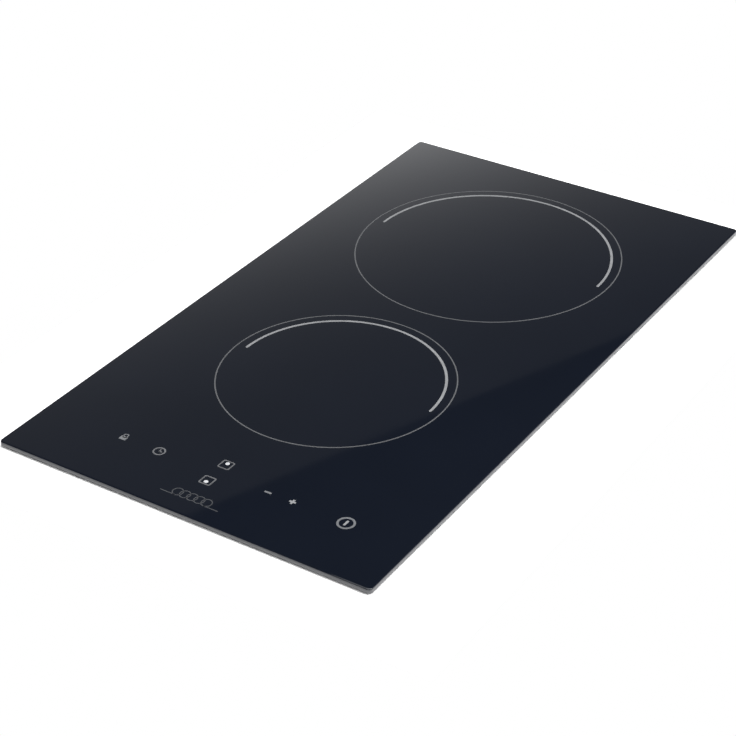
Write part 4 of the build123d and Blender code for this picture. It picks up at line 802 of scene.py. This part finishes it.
# Half width, half depth and corner radius of the panel and of its cut-out.
WORKTOP_PLAN = (210 * MM, 300 * MM, 1 * MM)
CUTOUT_PLAN = (134 * MM, 250 * MM, 5 * MM)
REBATE_CORNER = 3 * MM
# Finishes of the panel, by the number of the material.
ON_TOP, ON_EDGE, BESIDE_GLASS, ON_BACK_EDGE = range(4)


def white_laminate(name, glow):
    """White laminate with a fine grain, which can be lit up so that no shadow shows on it."""
    finish = Finish(name, roughness=0.55)
    grain = finish.noise(1.5 * MM, detail=3.0)
    finish.colour(finish.tint(grain, (0.86, 0.86, 0.86), (0.90, 0.90, 0.90)))
    finish.relief(grain, 0.01 * MM)
    finish.shader.inputs["Emission Color"].default_value = (1.0, 1.0, 1.0, 1.0)
    finish.shader.inputs["Emission Strength"].default_value = glow
    return finish.material


def make_worktop():
    """A thin panel with the cut-out, and a shallow rebate round it that takes the seal.

    It glows to the white of the backdrop, apart from a strip beside the glass, where the glass's
    shadow shows, and the edges at the back and on the left, which show that it is a panel. The glow of its
    other edges, nearly as strong as the top's, is painted light.
    """
    top = GLASS_UNDERSIDE - WORKTOP_GAP
    bottom = top - WORKTOP_THICKNESS
    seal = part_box("perimeter_seal")[1]
    beside_glass = [size + SHADOW_STRIP for size in (GLASS_HALF_WIDTH, GLASS_HALF_DEPTH, GLASS_CORNER)]
    rebate = (seal.x + REBATE_CLEARANCE, seal.y + REBATE_CLEARANCE, REBATE_CORNER)
    # Each section, and the finish of the faces that lead from it to the next.
    sections = [
        (WORKTOP_PLAN, bottom, ON_EDGE),
        (WORKTOP_PLAN, top, ON_TOP),
        (beside_glass, top, BESIDE_GLASS),
        (rebate, top, ON_EDGE),
        (rebate, SEAT, BESIDE_GLASS),
        (CUTOUT_PLAN, SEAT, ON_EDGE),
        (CUTOUT_PLAN, bottom, ON_TOP),
    ]
    mesh_data = bmesh.new()
    loops = []
    for plan, height, _ in sections:
        loops.append(loop_at(mesh_data, rounded_outline(*plan, SMALL_CORNER_STEPS), height))
    for first, second, (_, _, finish) in zip(loops, loops[1:] + loops[:1], sections):
        for face in bridge(mesh_data, first, second):
            face.normal_update()
            at_back = face.normal.x < -0.5 or face.normal.y > 0.5
            face.material_index = ON_BACK_EDGE if finish == ON_EDGE and at_back else finish
    # The front and right edges glow nearly as much as the top: painted light. The strip beside the glass and
    # the back and left edges glow little, so their real shade shows.
    laminates = [
        white_laminate("worktop_top", 0.55),
        white_laminate("worktop_edge_painted_light", 0.5),
        white_laminate("worktop_beside_glass", 0.08),
        white_laminate("worktop_back_edge", 0.1),
    ]
    piece_from("worktop", mesh_data, laminates, smooth=False)


make_worktop()

# ---------------------------------------------------------------- lights


def softbox(name, place, target, width, height, brightness):
    """Area light with the given surface brightness, hidden from the camera."""
    light = bpy.data.lights.new(name, "AREA")
    light.shape = "RECTANGLE"
    light.size = width
    light.size_y = height
    light.energy = brightness * pi * width * height
    lamp = bpy.data.objects.new(name, light)
    lamp.location = place
    lamp.rotation_euler = (Vector(target) - Vector(place)).to_track_quat("-Z", "Y").to_euler()
    lamp.visible_camera = False
    scene.collection.objects.link(lamp)


# The side lights stand above the worktop, which keeps them off the casing that hangs below it.
softbox("overhead_softbox", (0.0, 0.0, 2.4), (0.0, 0.0, 0.0), 2.0, 2.0, 4.4)
softbox("right_softbox", (1.3, -0.1, 0.85), (0.1, 0.0, 0.05), 0.8, 0.6, 18.0)
softbox("front_softbox", (0.55, -1.8, 1.0), (0.1, -0.2, 0.05), 1.1, 0.6, 6.0)

# A tall panel far behind the plate, seen only as its reflection in the glass. Its top edge slopes, and it is
# brightest low down on the left.
PANEL_DISTANCE = 1.6
PANEL_LEFT, PANEL_RIGHT = -0.80, 0.62
PANEL_LOW = 0.58
PANEL_TOP_MIDDLE = 1.180
PANEL_TOP_SLOPE = -0.4986
PANEL_STEPS = 60

# The panel's strong glow falls off upwards and to the right, each over its own length. Its weak glow
# falls off only to the right.
STRONG_GLOW = 2.07
STRONG_GLOW_HEIGHT = 0.6
STRONG_FALL_UP = 0.112
STRONG_FALL_ACROSS = 0.365
WEAK_GLOW = 0.077
WEAK_FALL_RATE = 0.654
GLOW_LIMIT = 1.7


def panel_brightness(across, height):
    strong = STRONG_GLOW * exp(-(height - STRONG_GLOW_HEIGHT) / STRONG_FALL_UP - across / STRONG_FALL_ACROSS)
    weak = WEAK_GLOW * exp(-WEAK_FALL_RATE * across)
    return min(strong + weak, GLOW_LIMIT)


def make_reflection_panel():
    """The panel faces the camera's side of the plate, and only reflections show it."""
    turn = radians(CAMERA_TURN)
    away = Vector((-sin(turn), cos(turn), 0.0))
    right = Vector((cos(turn), sin(turn), 0.0))
    mesh_data = bmesh.new()
    rows = []
    values = []
    for column in range(PANEL_STEPS + 1):
        across = PANEL_LEFT + (PANEL_RIGHT - PANEL_LEFT) * column / PANEL_STEPS
        top = PANEL_TOP_MIDDLE + PANEL_TOP_SLOPE * across
        row = []
        for level in range(PANEL_STEPS + 1):
            height = PANEL_LOW + (top - PANEL_LOW) * level / PANEL_STEPS
            place = away * PANEL_DISTANCE + right * across + Vector((0.0, 0.0, GLASS_TOP + height))
            row.append(mesh_data.verts.new(place))
            values.append(panel_brightness(across, height))
        rows.append(row)
    for first, second in zip(rows, rows[1:]):
        bridge(mesh_data, first, second, closed=False)
    material = bpy.data.materials.new("panel_glow")
    material.use_nodes = True
    nodes, links = material.node_tree.nodes, material.node_tree.links
    nodes.remove(nodes["Principled BSDF"])
    glow = nodes.new("ShaderNodeEmission")
    reader = nodes.new("ShaderNodeAttribute")
    reader.attribute_name = "brightness"
    links.new(reader.outputs["Fac"], glow.inputs["Strength"])
    links.new(glow.outputs["Emission"], nodes["Material Output"].inputs["Surface"])
    panel = piece_from("reflection_panel", mesh_data, [material])
    brightness = panel.data.attributes.new("brightness", "FLOAT", "POINT")
    brightness.data.foreach_set("value", values)
    panel.visible_camera = False
    panel.visible_shadow = False


make_reflection_panel()


# The world's light: its strength at and below the horizon and overhead, and the heights, as the sine of
# the elevation, between which it changes.
WORLD_LOW, WORLD_HIGH = 0.75, 0.012
WORLD_FALL = (0.02, 0.36)


def make_world():
    """White to the camera. The light that it gives is pale at and below the horizon and dark overhead."""
    world = bpy.data.worlds.new("studio")
    scene.world = world
    world.use_nodes = True
    nodes, links = world.node_tree.nodes, world.node_tree.links
    backdrop = nodes["Background"]
    backdrop.inputs["Color"].default_value = (1.0, 1.0, 1.0, 1.0)
    backdrop.inputs["Strength"].default_value = 1.0
    surround = nodes.new("ShaderNodeBackground")
    direction = nodes.new("ShaderNodeTexCoord").outputs["Generated"]
    parts = nodes.new("ShaderNodeSeparateXYZ")
    links.new(direction, parts.inputs["Vector"])
    fall = nodes.new("ShaderNodeMapRange")
    fall.interpolation_type = "SMOOTHSTEP"
    fall.inputs["From Min"].default_value = WORLD_FALL[0]
    fall.inputs["From Max"].default_value = WORLD_FALL[1]
    fall.inputs["To Min"].default_value = WORLD_LOW
    fall.inputs["To Max"].default_value = WORLD_HIGH
    links.new(parts.outputs["Z"], fall.inputs["Value"])
    links.new(fall.outputs["Result"], surround.inputs["Strength"])
    paths = nodes.new("ShaderNodeLightPath")
    choice = nodes.new("ShaderNodeMixShader")
    links.new(paths.outputs["Is Camera Ray"], choice.inputs["Fac"])
    links.new(surround.outputs["Background"], choice.inputs[1])
    links.new(backdrop.outputs["Background"], choice.inputs[2])
    links.new(choice.outputs["Shader"], nodes["World Output"].inputs["Surface"])


make_world()
